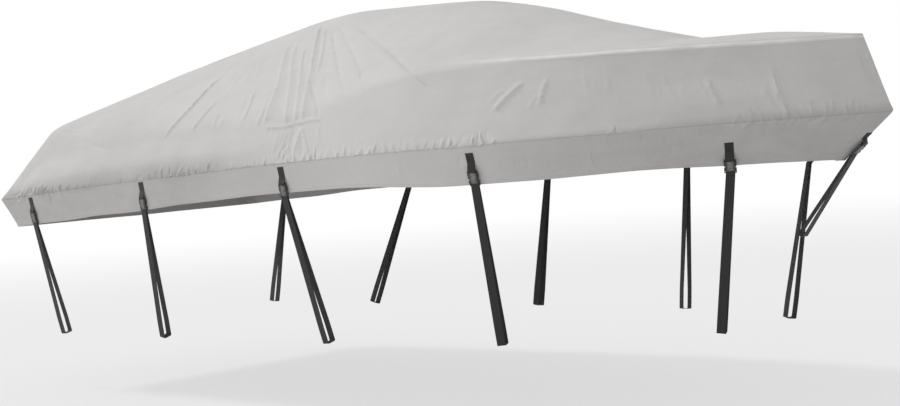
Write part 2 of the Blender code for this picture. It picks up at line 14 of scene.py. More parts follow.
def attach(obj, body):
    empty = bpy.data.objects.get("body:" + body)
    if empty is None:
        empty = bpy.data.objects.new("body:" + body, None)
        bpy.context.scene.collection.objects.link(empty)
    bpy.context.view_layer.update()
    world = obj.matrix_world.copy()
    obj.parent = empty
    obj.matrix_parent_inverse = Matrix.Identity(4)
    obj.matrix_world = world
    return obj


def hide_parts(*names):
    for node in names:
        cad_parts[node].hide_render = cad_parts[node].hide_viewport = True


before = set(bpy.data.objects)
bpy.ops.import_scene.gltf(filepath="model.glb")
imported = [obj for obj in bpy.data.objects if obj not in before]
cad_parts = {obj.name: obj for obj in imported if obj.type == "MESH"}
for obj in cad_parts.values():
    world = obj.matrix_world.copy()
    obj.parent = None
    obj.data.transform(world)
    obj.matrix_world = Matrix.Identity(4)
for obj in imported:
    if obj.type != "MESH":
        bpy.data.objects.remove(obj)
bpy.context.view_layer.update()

# ---- cloth: driving sizes, the same as the part's
LENGTH = 6.45
HALF_BEAM = 1.235
TRANSOM_SHARE = 0.932
WIDEST_SHARE = 0.403
BOW_FULLNESS = (2.29, 0.85)
GUNWALE_STERN_Z = 1.35
GUNWALE_BOW_Z = 1.537
GUNWALE_RISE = 0.045
GUNWALE_START = -0.125
SIDE_START = 0.14
TRANSOM_CORNER = (0.20, 6.0)
SHOULDER_START = 0.300
SHOULDER_END = 6.30
SHOULDER_HALF_BEAM = 1.053
SHOULDER_TRANSOM_SHARE = 0.872
STERN_TOP_Z = 1.965
SPINE_STERN_RUN = 0.05
HEM_START = 0.013
HEM_END = 6.15
HEM_HALF_BEAM = 1.215
HEM_TRANSOM_SHARE = 0.913
CLOTH = 0.0025
GUNWALE_ROUNDING = 0.04
# x, height of the shoulder and of the centre seam
SHOULDER_HEIGHTS = ((0.36, 1.81), (1.4, 1.865), (2.4, 1.88), (3.2, 1.925), (3.9, 1.963), (5.0, 1.971),
                    (6.3, 1.948))
SPINE_HEIGHTS = ((0.75, 2.147), (1.45, 2.27), (1.95, 2.35), (2.4, 2.41), (2.68, 2.4235), (2.95, 2.4162),
                 (3.65, 2.389), (3.95, 2.343), (4.58, 2.18), (5.05, 2.062), (5.22, 2.018), (5.7, 2.008),
                 (6.3, 1.948))
# x, share of the faces beside it over which the line is rounded
CROWN_ROUNDING = ((0.75, 0.20), (1.6, 0.16), (2.25, 0.16), (3.0, 0.45), (4.2, 0.45), (5.2, 0.35), (6.3, 0.20))
SHOULDER_ROUNDING = ((0.36, 0.07), (0.8, 0.22), (1.6, 0.42), (3.0, 0.42), (3.9, 0.12), (4.6, 0.05),
                     (6.3, 0.04))
HEM_DROPS = ((0.0, 0.199), (1.5, 0.202), (3.2, 0.176), (4.5, 0.228), (5.6, 0.216), (6.45, 0.240))
# where a frame line meets the gunwale (its station), the shoulder, the centre seam and the hem
FRAME_LINES = ((0.14, 0.505, 0.80, 0.27), (1.5, 1.55, 1.45, 1.50), (2.75, 2.62, 2.21, 2.74),
               (3.40, 3.20, 2.34, 3.39), (4.2, 4.15, 3.75, 4.16), (5.2, 5.1, 5.0, 5.08),
               (6.45, 6.30, 6.30, 6.15))
CROWN_X = 2.90

# ---- ties: driving sizes, the same as the part's
WEBBING = (0.050, 0.002)
TAB_LIFT = 0.0006
TAB_RETURN = 0.010
BUCKLE_LIFT = 0.0118
SIDE_TIE = {"sewn": 0.058, "tab": 0.104, "loop": (0.054, 0.115)}
# station, distance of the tab's top below the gunwale, then x, distance to the side and z of the
# loop's lowest point, and its turn in plan, degrees
SIDE_TIES = (
    (0.361, 0.016, 0.38, 0.97, 0.385, 0.0),
    (1.705, 0.016, 1.51, 0.97, 0.385, 0.0),
    (3.070, 0.023, 3.11, 0.97, 0.385, 0.0),
    (4.423, 0.048, 4.42, 0.86, 0.390, 25.0),
    (5.776, 0.122, 5.53, 0.33, 0.415, 25.0),
)
BOW_TIE = {"station": LENGTH, "top": 0.165, "sewn": 0.040, "tab": 0.080, "loop": (0.030, 0.050),
           "end": (5.86, 0.0, 0.905), "turn": 0.0}
LOOP_CORNER = 0.010
STEP = 0.01
BUCKLE_WIDTH = 0.066
BUCKLE_THICKNESS = 0.013
BUCKLE_CORE_WIDTH = 0.036
BAR = 0.0050
FIT = 0.0004
SOCKET_NECK = 0.022
SOCKET_END = 0.053
PRONG_WIDTH = 0.0070
PRONG_HEAD = (0.005, 0.014, 0.020)
BUCKLE_BEVEL = 0.005
CLIP_SHOULDER = 0.064
CLIP_BAR = 0.080
SLOT = 0.006
RIM = 0.006
SKIN = 0.0008                    # how far a plate lies below its buckle's thickest part
TURN_RADIUS = BAR * 0.71 + FIT + WEBBING[1] / 2   # of webbing round a square bar's corners
TURN_STEPS = 9                   # rows of the tab's turn
ROUNDING = 0.0007                # of a buckle's edges
RIB_WIDTH = 0.0018               # of its grip ribs
LEG_SHARES = (0, 0.15, 0.3, 0.5, 0.7, 0.9, 1)     # of a loop's leg, where it has a row of points

# ---- mesh spacing of the fine cloth: last station of a stretch, spacing in it
STRETCHES = ((0.90, 0.009), (1.60, 0.020), (2.10, 0.014), (2.60, 0.012), (3.50, 0.009), (4.40, 0.012),
             (5.20, 0.013), (6.30, 0.013), (6.44, 0.010))
CORNER_STEPS = 36
FINE = 3                         # rows near the gunwale, and on the skirt, per row of the panel
INSIDE = 2                       # rows and columns of the outer skin per one of the inner skin
# girth, spacing in it: of the panel's coarse columns
PANEL_GIRTHS = ((0.86, 0.022), (1.14, 0.014), (1.80, 0.019))
# girths of its fine columns near the gunwale, and below it where the edge laps over the skirt
EDGE_GIRTHS = (1.83, 1.86, 1.885, 1.91, 1.93, 1.95, 1.967, 1.983, 2.0, 2.017, 2.033, 2.055, 2.075)
LAP_RISE = 0.0032                # the panel's edge laps over the skirt this far out
SEAM_GAP = 0.0002                # from the centre plane to each side's cloth
SHARED_COLUMNS = 3               # coarse columns that the fine grid is measured with too
PIECE_SMOOTH = 50                # degrees between faces up to which cloth is shaded smooth


# ---- curves through tables
def table_curve(x, rows, column=1):
    """Smooth curve through a table's rows that never overshoots them: cubic pieces with harmonic slopes."""
    rows = np.array(rows)
    xs, ys = rows[:, 0], rows[:, column]
    step = np.diff(xs)
    slope = np.diff(ys) / step
    tangent = np.empty_like(ys)
    steady = slope[:-1] * slope[1:] > 0
    total = np.where(steady, slope[:-1] + slope[1:], 1)
    tangent[1:-1] = np.where(steady, 2 * slope[:-1] * slope[1:] / total, 0)
    tangent[0], tangent[-1] = slope[0], slope[-1]
    x = np.clip(x, xs[0], xs[-1])
    i = np.clip(np.searchsorted(xs, x, side="right") - 1, 0, len(xs) - 2)
    t = (x - xs[i]) / step[i]
    return ((1 + 2 * t) * (1 - t) ** 2 * ys[i] + t * (1 - t) ** 2 * step[i] * tangent[i]
            + t * t * (3 - 2 * t) * ys[i + 1] + t * t * (t - 1) * step[i] * tangent[i + 1])


def smooth_ramp(x, start, end):
    """0 before start, 1 after end, and between them three squares less two cubes of the share gone."""
    t = np.clip((x - start) / (end - start), 0, 1)
    return t * t * (3 - 2 * t)


def unit(vectors):
    """Vectors divided by their lengths."""
    return vectors / np.linalg.norm(vectors, axis=-1, keepdims=True)


# ---- the cloth drawn tight
def half_breadth(x, half_beam, transom_share, length):
    """Half breadth in plan: a parabola aft of the widest place, a fuller power curve to the bow."""
    t = x / length
    aft = transom_share + (1 - transom_share) * (1 - (1 - np.clip(t / WIDEST_SHARE, 0, 1)) ** 2)
    along = np.clip((t - WIDEST_SHARE) / (1 - WIDEST_SHARE), 0, 1)
    fore = (1 - along ** BOW_FULLNESS[0]) ** BOW_FULLNESS[1]
    return half_beam * np.where(t < WIDEST_SHARE, aft, fore)


def side_line(turn, q, start, end, half_beam, transom_share, column):
    """x, distance to the side and share of the breadth of a line round the boat.

    The transom corner is a quarter of a superellipse: cosine and sine of the turn, each to a small power.
    """
    angle = np.clip(turn, 0, 1) * np.pi / 2
    depth = TRANSOM_CORNER[0] * (1 - np.cos(angle) ** (2 / TRANSOM_CORNER[1]))
    share = np.sin(angle) ** (2 / TRANSOM_CORNER[1])
    x = np.where(turn < 1, start + depth, table_curve(q, FRAME_LINES, column) if column else q)
    return x, half_breadth(x, half_beam, transom_share, end) * np.where(turn < 1, share, 1), share


def lengthwise_lines(turn, q):
    """Centre seam, shoulder, gunwale and hem, starboard side, one point of each per frame line."""
    def line(x, side, z):
        return np.stack([x, -side, z], axis=-1)

    x, side, _ = side_line(turn, q, GUNWALE_START, LENGTH, HALF_BEAM, TRANSOM_SHARE, 0)
    t = x / LENGTH
    z = GUNWALE_STERN_Z + (GUNWALE_BOW_Z - GUNWALE_STERN_Z) * t + 4 * GUNWALE_RISE * t * (1 - t)
    gunwale = line(x, side, z)
    hem_z = z - table_curve(x, HEM_DROPS)
    x, side, _ = side_line(turn, q, HEM_START, HEM_END, HEM_HALF_BEAM, HEM_TRANSOM_SHARE, 3)
    hem = line(x, side, hem_z)
    x, side, share = side_line(turn, q, SHOULDER_START, SHOULDER_END, SHOULDER_HALF_BEAM,
                               SHOULDER_TRANSOM_SHARE, 1)
    z = table_curve(x, SHOULDER_HEIGHTS)
    shoulder = line(x, side, z + np.where(turn < 1, (STERN_TOP_Z - z) * (1 - share ** 2), 0))
    spine_start = FRAME_LINES[0][2] - SPINE_STERN_RUN
    x = np.where(turn < 1, spine_start + SPINE_STERN_RUN * turn, table_curve(q, FRAME_LINES, 2))
    return line(x, 0 * x, table_curve(x, SPINE_HEIGHTS)), shoulder, gunwale, hem


def rounded_section(lines, girths):
    """Points at each girth: straight faces between the lines, with a parabola round each line.

    girths is one row for all frame lines. The crown's parabola passes through the centre seam, the
    other two cut their corners.
    """
    centre, shoulder, gunwale, hem = lines
    crown = table_curve(centre[:, 0], CROWN_ROUNDING)[:, None]
    peak = (centre - crown / 2 * shoulder) / (1 - crown / 2)
    peak[:, 1] = 0
    across = peak + (shoulder - peak) * np.array([1, -1, 1])
    shoulder_share = table_curve(shoulder[:, 0], SHOULDER_ROUNDING)[:, None]
    gunwale_share = np.full_like(crown, GUNWALE_ROUNDING)
    s = girths[None, :, None]
    faces = (peak, shoulder, gunwale, hem)
    points = np.zeros((len(centre), len(girths), 3))
    for k in range(3):
        on_face = (s >= k) & (s <= k + 1)
        points = np.where(on_face, faces[k][:, None] + (faces[k + 1] - faces[k])[:, None] * (s - k), points)
    bends = ((0, across, peak, shoulder, crown), (1, peak, shoulder, gunwale, shoulder_share),
             (2, shoulder, gunwale, hem, gunwale_share))
    for at, before, corner, after, share in bends:
        u = np.clip((s - at + share[:, None]) / (2 * share[:, None]), 0, 1)
        first = corner + (before - corner) * share
        last = corner + (after - corner) * share
        bend = (1 - u) ** 2 * first[:, None] + 2 * u * (1 - u) * corner[:, None] + u * u * last[:, None]
        points = np.where(np.abs(s - at) < share[:, None], bend, points)
    return points


def outward(points):
    """Unit directions out of the cloth: each point's faces averaged, level across the centre seam."""
    face = np.cross(points[:-1, 1:] - points[1:, :-1], points[1:, 1:] - points[:-1, :-1])
    normal = np.zeros_like(points)
    for rows in (slice(None, -1), slice(1, None)):
        for columns in (slice(None, -1), slice(1, None)):
            normal[rows, columns] += face
    together = np.linalg.norm(points[-1] - points[-1, 0], axis=-1) < 1e-5
    normal[-1, together] = normal[-1, together].sum(axis=0)
    normal[np.abs(points[..., 1]) < 1e-5, 1] = 0
    return unit(normal)


def place_on_cloth(q, s):
    """Points of the tight cloth at pairs of station and girth, round the stern before SIDE_START."""
    q, s = np.asarray(q, float), np.asarray(s, float)
    turn = np.clip(q / SIDE_START, 0, 1)
    grid = rounded_section(lengthwise_lines(turn, np.maximum(q, SIDE_START)), s)
    return grid[np.arange(len(q)), np.arange(len(q))]


# ---- folds
# A fold is a row: height in metres (below zero for a trough), half width, lean (how much wider its aft
# or lower side is), shares of its length over which it rises and dies, and where it starts, passes and
# ends, each as station and girth.
# ridges of the pleats that fan out from the crown and end at the ledge
PLEAT_RIDGES = (
    ((2.58, 0.28), (2.97, 0.84), (2.95, 1.43)),
    ((2.78, 0.32), (3.12, 0.84), (3.15, 1.49)),
    ((3.10, 0.42), (3.25, 0.92), (3.23, 1.47)),
    ((3.28, 0.16), (3.35, 0.80), (3.29, 1.46)),
    ((3.43, 0.18), (3.44, 0.56), (3.41, 0.96)),
)
# how each pleat is pressed: height, width of its aft side and of its fore side at the lower end, shares
# over which it rises and dies; then the soft ridge that it stands on: height, half width
PLEAT_FORMS = (
    (0.0105, 0.018, 0.08, 0.20, 0.04, 0.0035, 0.020),
    (0.0075, 0.014, 0.06, 0.20, 0.04, 0.0035, 0.014),
    (0.0070, 0.014, 0.05, 0.20, 0.04, 0.0035, 0.013),
    (0.0105, 0.016, 0.06, 0.12, 0.04, 0.0045, 0.015),
    (0.0060, 0.014, 0.03, 0.20, 0.25, 0.0040, 0.018),
)
CROWN_FOLDS = (
    (-0.0070, 0.010, -0.1, 0.30, 0.10, ((3.37, 0.98), (3.41, 1.22), (3.43, 1.46))),
    (-0.0040, 0.015, 0.0, 0.35, 0.35, ((3.49, 0.88), (3.49, 1.06), (3.49, 1.24))),
    (-0.0095, 0.010, -0.1, 0.20, 0.25, ((3.51, 0.24), (3.58, 0.80), (3.64, 1.33))),
    (-0.0085, 0.012, -0.1, 0.15, 0.25, ((3.56, 0.23), (3.68, 0.68), (3.76, 1.11))),
    (-0.0065, 0.008, 0.0, 0.30, 0.30, ((3.74, 0.90), (3.74, 0.99), (3.75, 1.08))),
    (-0.0125, 0.011, -0.2, 0.12, 0.15, ((3.66, 0.29), (3.94, 0.88), (4.25, 1.44))),
)
FLANK_FOLDS = (
    (0.0075, 0.015, 0.4, 0.35, 0.20, ((2.70, 0.86), (2.74, 1.12), (2.71, 1.38))),
    (0.0070, 0.015, 0.3, 0.35, 0.20, ((2.93, 1.12), (2.91, 1.28), (2.86, 1.44))),
    (0.0140, 0.019, 0.5, 0.20, 0.20, ((2.00, 0.59), (2.03, 1.00), (1.84, 1.49))),
    (0.0100, 0.015, 0.4, 0.30, 0.15, ((2.31, 0.94), (2.26, 1.12), (2.17, 1.39))),
    (0.0060, 0.011, 0.3, 0.30, 0.30, ((2.41, 1.13), (2.41, 1.26), (2.41, 1.39))),
    (0.0045, 0.012, 0.3, 0.35, 0.30, ((1.83, 0.35), (1.96, 0.56), (2.06, 0.76))),
    (0.0040, 0.012, 0.3, 0.35, 0.30, ((2.25, 0.57), (2.35, 0.80), (2.36, 0.98))),
    (0.0035, 0.011, 0.3, 0.35, 0.30, ((2.29, 0.48), (2.43, 0.68), (2.50, 0.84))),
    (0.0040, 0.010, 0.3, 0.35, 0.30, ((2.62, 0.92), (2.65, 1.08), (2.65, 1.25))),
    (0.0040, 0.010, 0.3, 0.30, 0.30, ((2.37, 0.47), (2.53, 0.65), (2.63, 0.82))),
    (0.0040, 0.009, 0.3, 0.35, 0.25, ((2.91, 0.92), (2.92, 1.07), (2.89, 1.21))),
    (0.0055, 0.011, 0.3, 0.30, 0.30, ((2.50, 1.18), (2.49, 1.31), (2.47, 1.42))),
    (-0.0060, 0.015, 0.0, 0.40, 0.40, ((1.46, 0.76), (1.49, 0.88), (1.53, 1.02))),
    (-0.0050, 0.013, 0.0, 0.40, 0.40, ((0.73, 0.48), (1.14, 0.46), (1.30, 0.38))),
    (-0.0060, 0.017, 0.0, 0.40, 0.35, ((0.72, 1.29), (1.05, 1.43), (1.31, 1.51))),
    (-0.0035, 0.022, 0.0, 0.40, 0.40, ((0.16, 1.04), (0.44, 1.11), (0.71, 1.14))),
    (0.0030, 0.032, 0.0, 0.40, 0.40, ((0.86, 0.88), (1.24, 1.13), (1.46, 1.39))),
)
# where the pleats end over the boat's side: an uneven ledge with its drop on the lower side
LEDGE_FOLDS = (
    (0.0070, 0.014, -0.55, 0.15, 0.05,
     ((2.94, 1.46), (3.04, 1.50), (3.14, 1.51), (3.22, 1.49), (3.28, 1.49))),
    (0.0065, 0.014, -0.55, 0.05, 0.20, ((3.26, 1.49), (3.35, 1.47), (3.45, 1.48))),
)
SHORT_FOLDS = (
    (0.0070, 0.012, 0.0, 0.12, 0.15, ((3.28, 1.54), (3.23, 1.74), (3.19, 1.95))),
    (0.0070, 0.011, 0.0, 0.12, 0.15, ((3.28, 1.54), (3.30, 1.75), (3.32, 1.97))),
    (-0.0055, 0.010, 0.0, 0.30, 0.15, ((3.27, 1.63), (3.27, 1.78), (3.25, 1.93))),
    (-0.0060, 0.013, 0.0, 0.20, 0.20, ((3.22, 1.54), (3.18, 1.74), (3.17, 1.93))),
    (0.0070, 0.010, 0.0, 0.20, 0.15, ((3.16, 1.55), (3.10, 1.77), (3.05, 1.97))),
    (-0.0070, 0.007, 0.0, 0.20, 0.20, ((3.14, 1.58), (3.10, 1.72), (3.07, 1.85))),
    (-0.0065, 0.007, 0.0, 0.20, 0.20, ((3.15, 1.73), (3.11, 1.84), (3.07, 1.94))),
    (0.0065, 0.007, 0.0, 0.20, 0.20, ((3.16, 1.77), (3.12, 1.87), (3.09, 1.97))),
    (0.0045, 0.010, 0.0, 0.25, 0.20, ((3.08, 1.53), (3.05, 1.70), (3.01, 1.88))),
    (-0.0040, 0.012, 0.0, 0.25, 0.35, ((2.99, 1.49), (2.98, 1.55), (2.98, 1.61))),
    (0.0040, 0.010, 0.2, 0.20, 0.30, ((3.42, 1.51), (3.41, 1.68), (3.40, 1.85))),
    (0.0050, 0.009, 0.0, 0.25, 0.20, ((3.38, 1.80), (3.37, 1.90), (3.36, 2.00))),
)
FORE_FOLDS = (
    (0.0100, 0.014, 0.45, 0.25, 0.20, ((4.76, 1.27), (4.64, 1.47), (4.56, 1.65))),
    (0.0055, 0.009, 0.3, 0.30, 0.30, ((4.63, 1.36), (4.57, 1.45), (4.54, 1.54))),
    (0.0055, 0.008, 0.3, 0.30, 0.25, ((4.83, 1.46), (4.80, 1.56), (4.77, 1.65))),
    (0.0090, 0.011, 0.4, 0.30, 0.15, ((4.90, 1.24), (4.86, 1.44), (4.84, 1.63))),
    (0.0035, 0.010, 0.2, 0.35, 0.25, ((5.10, 1.20), (5.11, 1.39), (5.12, 1.58))),
    (0.0035, 0.009, 0.4, 0.35, 0.20, ((5.23, 1.22), (5.23, 1.40), (5.22, 1.57))),
    (0.0030, 0.010, 0.2, 0.35, 0.30, ((5.43, 1.25), (5.44, 1.46), (5.46, 1.67))),
    (0.0040, 0.009, 0.3, 0.30, 0.30, ((5.51, 1.27), (5.53, 1.49), (5.57, 1.71))),
    (0.0030, 0.008, 0.2, 0.35, 0.25, ((5.59, 1.36), (5.60, 1.52), (5.61, 1.67))),
    (0.0040, 0.009, 0.3, 0.30, 0.25, ((5.67, 1.39), (5.70, 1.57), (5.72, 1.75))),
    (0.0095, 0.012, 0.45, 0.35, 0.12, ((5.72, 1.38), (5.74, 1.60), (5.77, 1.81))),
    (0.0040, 0.008, 0.2, 0.30, 0.30, ((5.92, 1.72), (5.92, 1.80), (5.92, 1.89))),
    (0.0040, 0.008, 0.2, 0.30, 0.30, ((5.89, 1.81), (5.89, 1.88), (5.90, 1.96))),
    (0.0115, 0.015, 0.5, 0.45, 0.08, ((6.04, 1.20), (6.03, 1.61), (6.05, 2.01))),
    (0.0060, 0.010, 0.4, 0.35, 0.25, ((5.97, 1.53), (5.98, 1.70), (6.00, 1.87))),
    (0.0070, 0.008, 0.45, 0.30, 0.25, ((6.16, 1.74), (6.15, 1.88), (6.15, 2.02))),
    (0.0030, 0.010, 0.0, 0.40, 0.40, ((6.12, 1.76), (6.12, 1.85), (6.12, 1.94))),
    (0.0070, 0.007, 0.3, 0.35, 0.10, ((6.22, 1.78), (6.21, 1.88), (6.20, 1.98))),
    (0.0065, 0.007, 0.3, 0.35, 0.10, ((6.25, 1.77), (6.24, 1.87), (6.23, 1.97))),
    (0.0055, 0.006, 0.3, 0.35, 0.10, ((6.29, 1.79), (6.29, 1.88), (6.28, 1.96))),
    (0.0060, 0.007, 0.3, 0.35, 0.10, ((6.33, 1.73), (6.32, 1.84), (6.30, 1.96))),
    (0.0040, 0.006, 0.2, 0.35, 0.15, ((6.35, 1.82), (6.34, 1.90), (6.33, 1.98))),
    (0.0040, 0.006, 0.2, 0.35, 0.15, ((6.37, 1.81), (6.36, 1.90), (6.35, 1.98))),
    (-0.0140, 0.012, -0.2, 0.20, 0.20, ((6.42, 1.16), (6.42, 1.44), (6.43, 1.72))),
)
STERN_FOLDS = (
    (-0.0125, 0.010, 0.0, 0.15, 0.25, ((0.14, 1.98), (0.16, 1.95), (0.19, 1.92))),
    (0.0095, 0.012, 0.0, 0.25, 0.25, ((0.14, 2.29), (0.17, 2.19), (0.24, 2.08))),
    (0.0110, 0.009, 0.2, 0.25, 0.25, ((0.47, 1.84), (0.52, 1.99), (0.51, 2.22))),
    (0.0100, 0.008, 0.2, 0.25, 0.25, ((0.61, 1.94), (0.61, 2.16), (0.57, 2.39))),
    (0.0085, 0.008, 0.2, 0.25, 0.25, ((0.75, 1.90), (0.77, 2.06), (0.78, 2.22))),
    (0.0070, 0.008, 0.0, 0.25, 0.25, ((0.85, 1.94), (0.86, 2.05), (0.87, 2.15))),
    (-0.0085, 0.008, 0.0, 0.25, 0.25, ((0.65, 1.91), (0.67, 2.07), (0.69, 2.22))),
    (-0.0080, 0.007, 0.0, 0.20, 0.20, ((0.81, 2.06), (0.90, 2.10), (0.98, 2.10))),
    (-0.0070, 0.007, 0.0, 0.20, 0.20, ((1.05, 2.10), (1.10, 2.11), (1.15, 2.12))),
    (0.0070, 0.008, 0.0, 0.25, 0.25, ((0.40, 1.87), (0.42, 1.96), (0.45, 2.06))),
    (-0.0070, 0.009, 0.0, 0.25, 0.25, ((0.35, 1.90), (0.37, 2.04), (0.39, 2.18))),
    (-0.0085, 0.008, 0.0, 0.30, 0.30, ((0.16, 1.98), (0.14, 2.22), (0.13, 2.42))),
    (0.0050, 0.012, 0.0, 0.35, 0.35, ((0.22, 2.55), (0.25, 2.74), (0.29, 2.93))),
)
SKIRT_FOLDS = (
    (-0.0050, 0.014, 0.0, 0.30, 0.30, ((5.49, 2.18), (5.55, 2.47), (5.60, 2.75))),
    (-0.0050, 0.010, 0.0, 0.30, 0.30, ((5.38, 2.10), (5.39, 2.20), (5.41, 2.30))),
    (0.0040, 0.014, 0.0, 0.30, 0.30, ((5.56, 2.26), (5.59, 2.41), (5.62, 2.57))),
    (-0.0065, 0.008, 0.0, 0.30, 0.30, ((6.22, 2.10), (6.22, 2.18), (6.23, 2.26))),
    (-0.0055, 0.008, 0.0, 0.30, 0.30, ((6.09, 2.02), (6.09, 2.11), (6.10, 2.20))),
    (-0.0055, 0.007, 0.0, 0.30, 0.30, ((6.27, 2.05), (6.29, 2.15), (6.30, 2.24))),
    (0.0045, 0.010, 0.0, 0.30, 0.30, ((6.35, 2.06), (6.36, 2.18), (6.37, 2.31))),
    (-0.0040, 0.020, 0.0, 0.35, 0.35, ((1.37, 2.21), (1.47, 2.54), (1.55, 2.86))),
    (0.0040, 0.022, 0.0, 0.35, 0.35, ((2.64, 2.12), (2.69, 2.38), (2.75, 2.63))),
    (-0.0035, 0.020, 0.0, 0.35, 0.35, ((3.60, 2.11), (3.62, 2.49), (3.65, 2.86))),
    (0.0040, 0.018, 0.0, 0.35, 0.35, ((3.96, 2.18), (3.97, 2.50), (3.98, 2.83))),
    (-0.0035, 0.018, 0.0, 0.35, 0.35, ((4.73, 2.14), (4.78, 2.47), (4.79, 2.79))),
    (0.0040, 0.018, 0.0, 0.35, 0.35, ((5.09, 2.18), (5.13, 2.48), (5.15, 2.78))),
    (-0.0040, 0.009, 0.0, 0.30, 0.30, ((4.49, 2.15), (4.50, 2.46), (4.52, 2.79))),
    (-0.0040, 0.009, 0.0, 0.30, 0.30, ((4.38, 2.21), (4.37, 2.38), (4.36, 2.55))),
)
PLEATS = tuple(form[:5] + (ridge,) for form, ridge in zip(PLEAT_FORMS, PLEAT_RIDGES))
PLEAT_LEAN = 0.1
PLEAT_BASES = tuple(form[5:] + (PLEAT_LEAN,) + form[3:5] + (ridge,)
                    for form, ridge in zip(PLEAT_FORMS, PLEAT_RIDGES))
PLEAT_TAPER = 0.3                # width at the upper end, in widths at the lower
PLEAT_ROUNDING = 0.004
FOLD_STEPS = 8                   # points per stretch of a fold's path
FOLD_TIP = 0.03                  # rounds a fold's crest: added to its distance squared, in half widths

# first station, last station, gathers per metre, height, half width, girth about which one ends: the
# edge over the gunwale is drawn up into short ridges, with troughs between them
GATHERS = (
    (0.20, 0.34, 30, 0.0100, 0.009, 2.20),
    (0.36, 0.64, 28, 0.0096, 0.010, 2.16),
    (0.64, 1.20, 24, 0.0060, 0.010, 2.08),
    (1.20, 1.56, 14, 0.0042, 0.010, 2.04),
    (1.76, 2.16, 30, 0.0062, 0.008, 2.05),
    (2.16, 2.50, 22, 0.0072, 0.009, 2.06),
    (2.50, 2.86, 18, 0.0044, 0.011, 2.05),
    (2.86, 3.38, 34, 0.0060, 0.009, 2.06),
    (3.38, 3.80, 34, 0.0050, 0.010, 2.04),
    (3.80, 4.28, 38, 0.0058, 0.009, 2.04),
    (4.28, 4.60, 40, 0.0074, 0.008, 2.06),
    (5.17, 5.30, 30, 0.0066, 0.008, 2.05),
    (5.30, 5.52, 20, 0.0036, 0.010, 2.04),
    (5.60, 5.86, 24, 0.0040, 0.009, 2.08),
    (5.86, 6.40, 40, 0.0062, 0.008, 2.14),
)
# station, how ragged the panel's lower edge is there, its mean width below the gunwale, how far it flares
LAP_EDGE = (
    (0.0, 0.3, 0.006, 0.0002), (0.4, 0.9, 0.008, 0.0004), (1.0, 0.5, 0.006, 0.0002),
    (1.7, 0.6, 0.007, 0.0008), (2.1, 0.9, 0.010, 0.0028), (2.5, 0.7, 0.008, 0.0018),
    (2.9, 1.0, 0.005, 0.0025), (3.5, 1.0, 0.005, 0.0030), (4.0, 1.0, 0.006, 0.0028),
    (4.5, 1.0, 0.010, 0.0045), (4.62, 0.15, 0.007, 0.0028), (5.12, 0.15, 0.007, 0.0028),
    (5.24, 0.8, 0.010, 0.0028), (5.5, 0.3, 0.005, 0.0003), (6.45, 0.2, 0.004, 0.0),
)
# station, depth of the soft roll above the gunwale; then the girths between which it lies
ROLL = ((0.15, 0.0), (0.34, 0.07), (1.6, 0.07), (2.1, 0.05), (2.6, 0.03), (3.05, 0.0), (5.3, 0.0),
        (5.6, 0.03), (6.0, 0.035), (6.3, 0.02), (6.45, 0.0))
ROLL_GIRTHS = (1.4, 2.0)
# station and girth of the bead that the foredeck's edge presses up along the shoulder
BEAD = ((3.95, 0.98), (4.60, 1.00), (5.00, 1.03), (6.00, 1.04), (6.44, 1.03))
BEAD_FOLD = (0.0055, 0.016, 0.20, 0.30, 0.01, BEAD)
FOLDS = (PLEAT_BASES + CROWN_FOLDS + FLANK_FOLDS + LEDGE_FOLDS + SHORT_FOLDS + FORE_FOLDS + STERN_FOLDS
         + SKIRT_FOLDS + (BEAD_FOLD,))
TIE_CLEARANCE = (0.030, 0.055)   # from a tie's centre line: no folds within the first, all beyond the second
TIE_LINE = (2.1, 2.9)            # girths of the line that a tab lies along
TAB_SPOTS = (0.0, 0.1, 0.2, 0.3, 0.4, 0.5, 0.6)   # shares of that line where the cloth is held flat
TIE_PLAIN = (0.02, 0.05)         # from a tie: the panel's edge is straight, then fully ragged
SLACK_GIRTH = 0.2                # girth over which the slack comes in from the centre seam
LEVEL_WIDTH = 0.02               # distance from the centre plane over which folds come in


def smooth_path(points, steps, closed=False):
    """Catmull-Rom curve through points, with the given steps per stretch, along the first axis."""
    points = np.asarray(points, float)
    if closed:
        padded = np.concatenate([points[-1:], points, points[:2]])
    else:
        padded = np.concatenate([2 * points[:1] - points[1:2], points, 2 * points[-1:] - points[-2:-1]])
    t = (np.arange(steps) / steps).reshape(-1, *([1] * (points.ndim - 1)))
    a, b, c, d = padded[:-3, None], padded[1:-2, None], padded[2:-1, None], padded[3:, None]
    curve = 0.5 * (2 * b + (c - a) * t + (2 * a - 5 * b + 4 * c - d) * t ** 2
                   + (3 * b - a - 3 * c + d) * t ** 3)
    curve = curve.reshape(-1, *points.shape[1:])
    return curve if closed else np.concatenate([curve, points[-1:]])


def beside(points, normals, route, reach):
    """Points near a route over the cloth, as (which, distance, share of its length gone, side).

    The nearest place on the route counts. Side is 1 on the aft side of a route that runs down, else -1.
    """
    q, s = smooth_path(route, FOLD_STEPS).T
    path = place_on_cloth(q, s)
    near = ((points > path.min(axis=0) - reach) & (points < path.max(axis=0) + reach)).all(axis=-1)
    spot, out = points[near], normals[near]
    start, run = path[:-1], path[1:] - path[:-1]
    length = np.linalg.norm(run, axis=1)
    share = np.einsum("nmk,mk->nm", spot[:, None] - start, run) / length ** 2
    inside = np.clip(share, 0, 1)
    gap = spot[:, None] - start - run * inside[..., None]
    distance = np.linalg.norm(gap, axis=-1)
    best = distance.argmin(axis=1)
    pick = np.arange(len(spot))
    gone = np.concatenate([[0], np.cumsum(length)])
    along = (gone[best] + inside[pick, best] * length[best]) / gone[-1]
    side = np.sign(np.einsum("nk,nk->n", np.cross(run[best], out), gap[pick, best]))
    return near, distance[pick, best], along, side


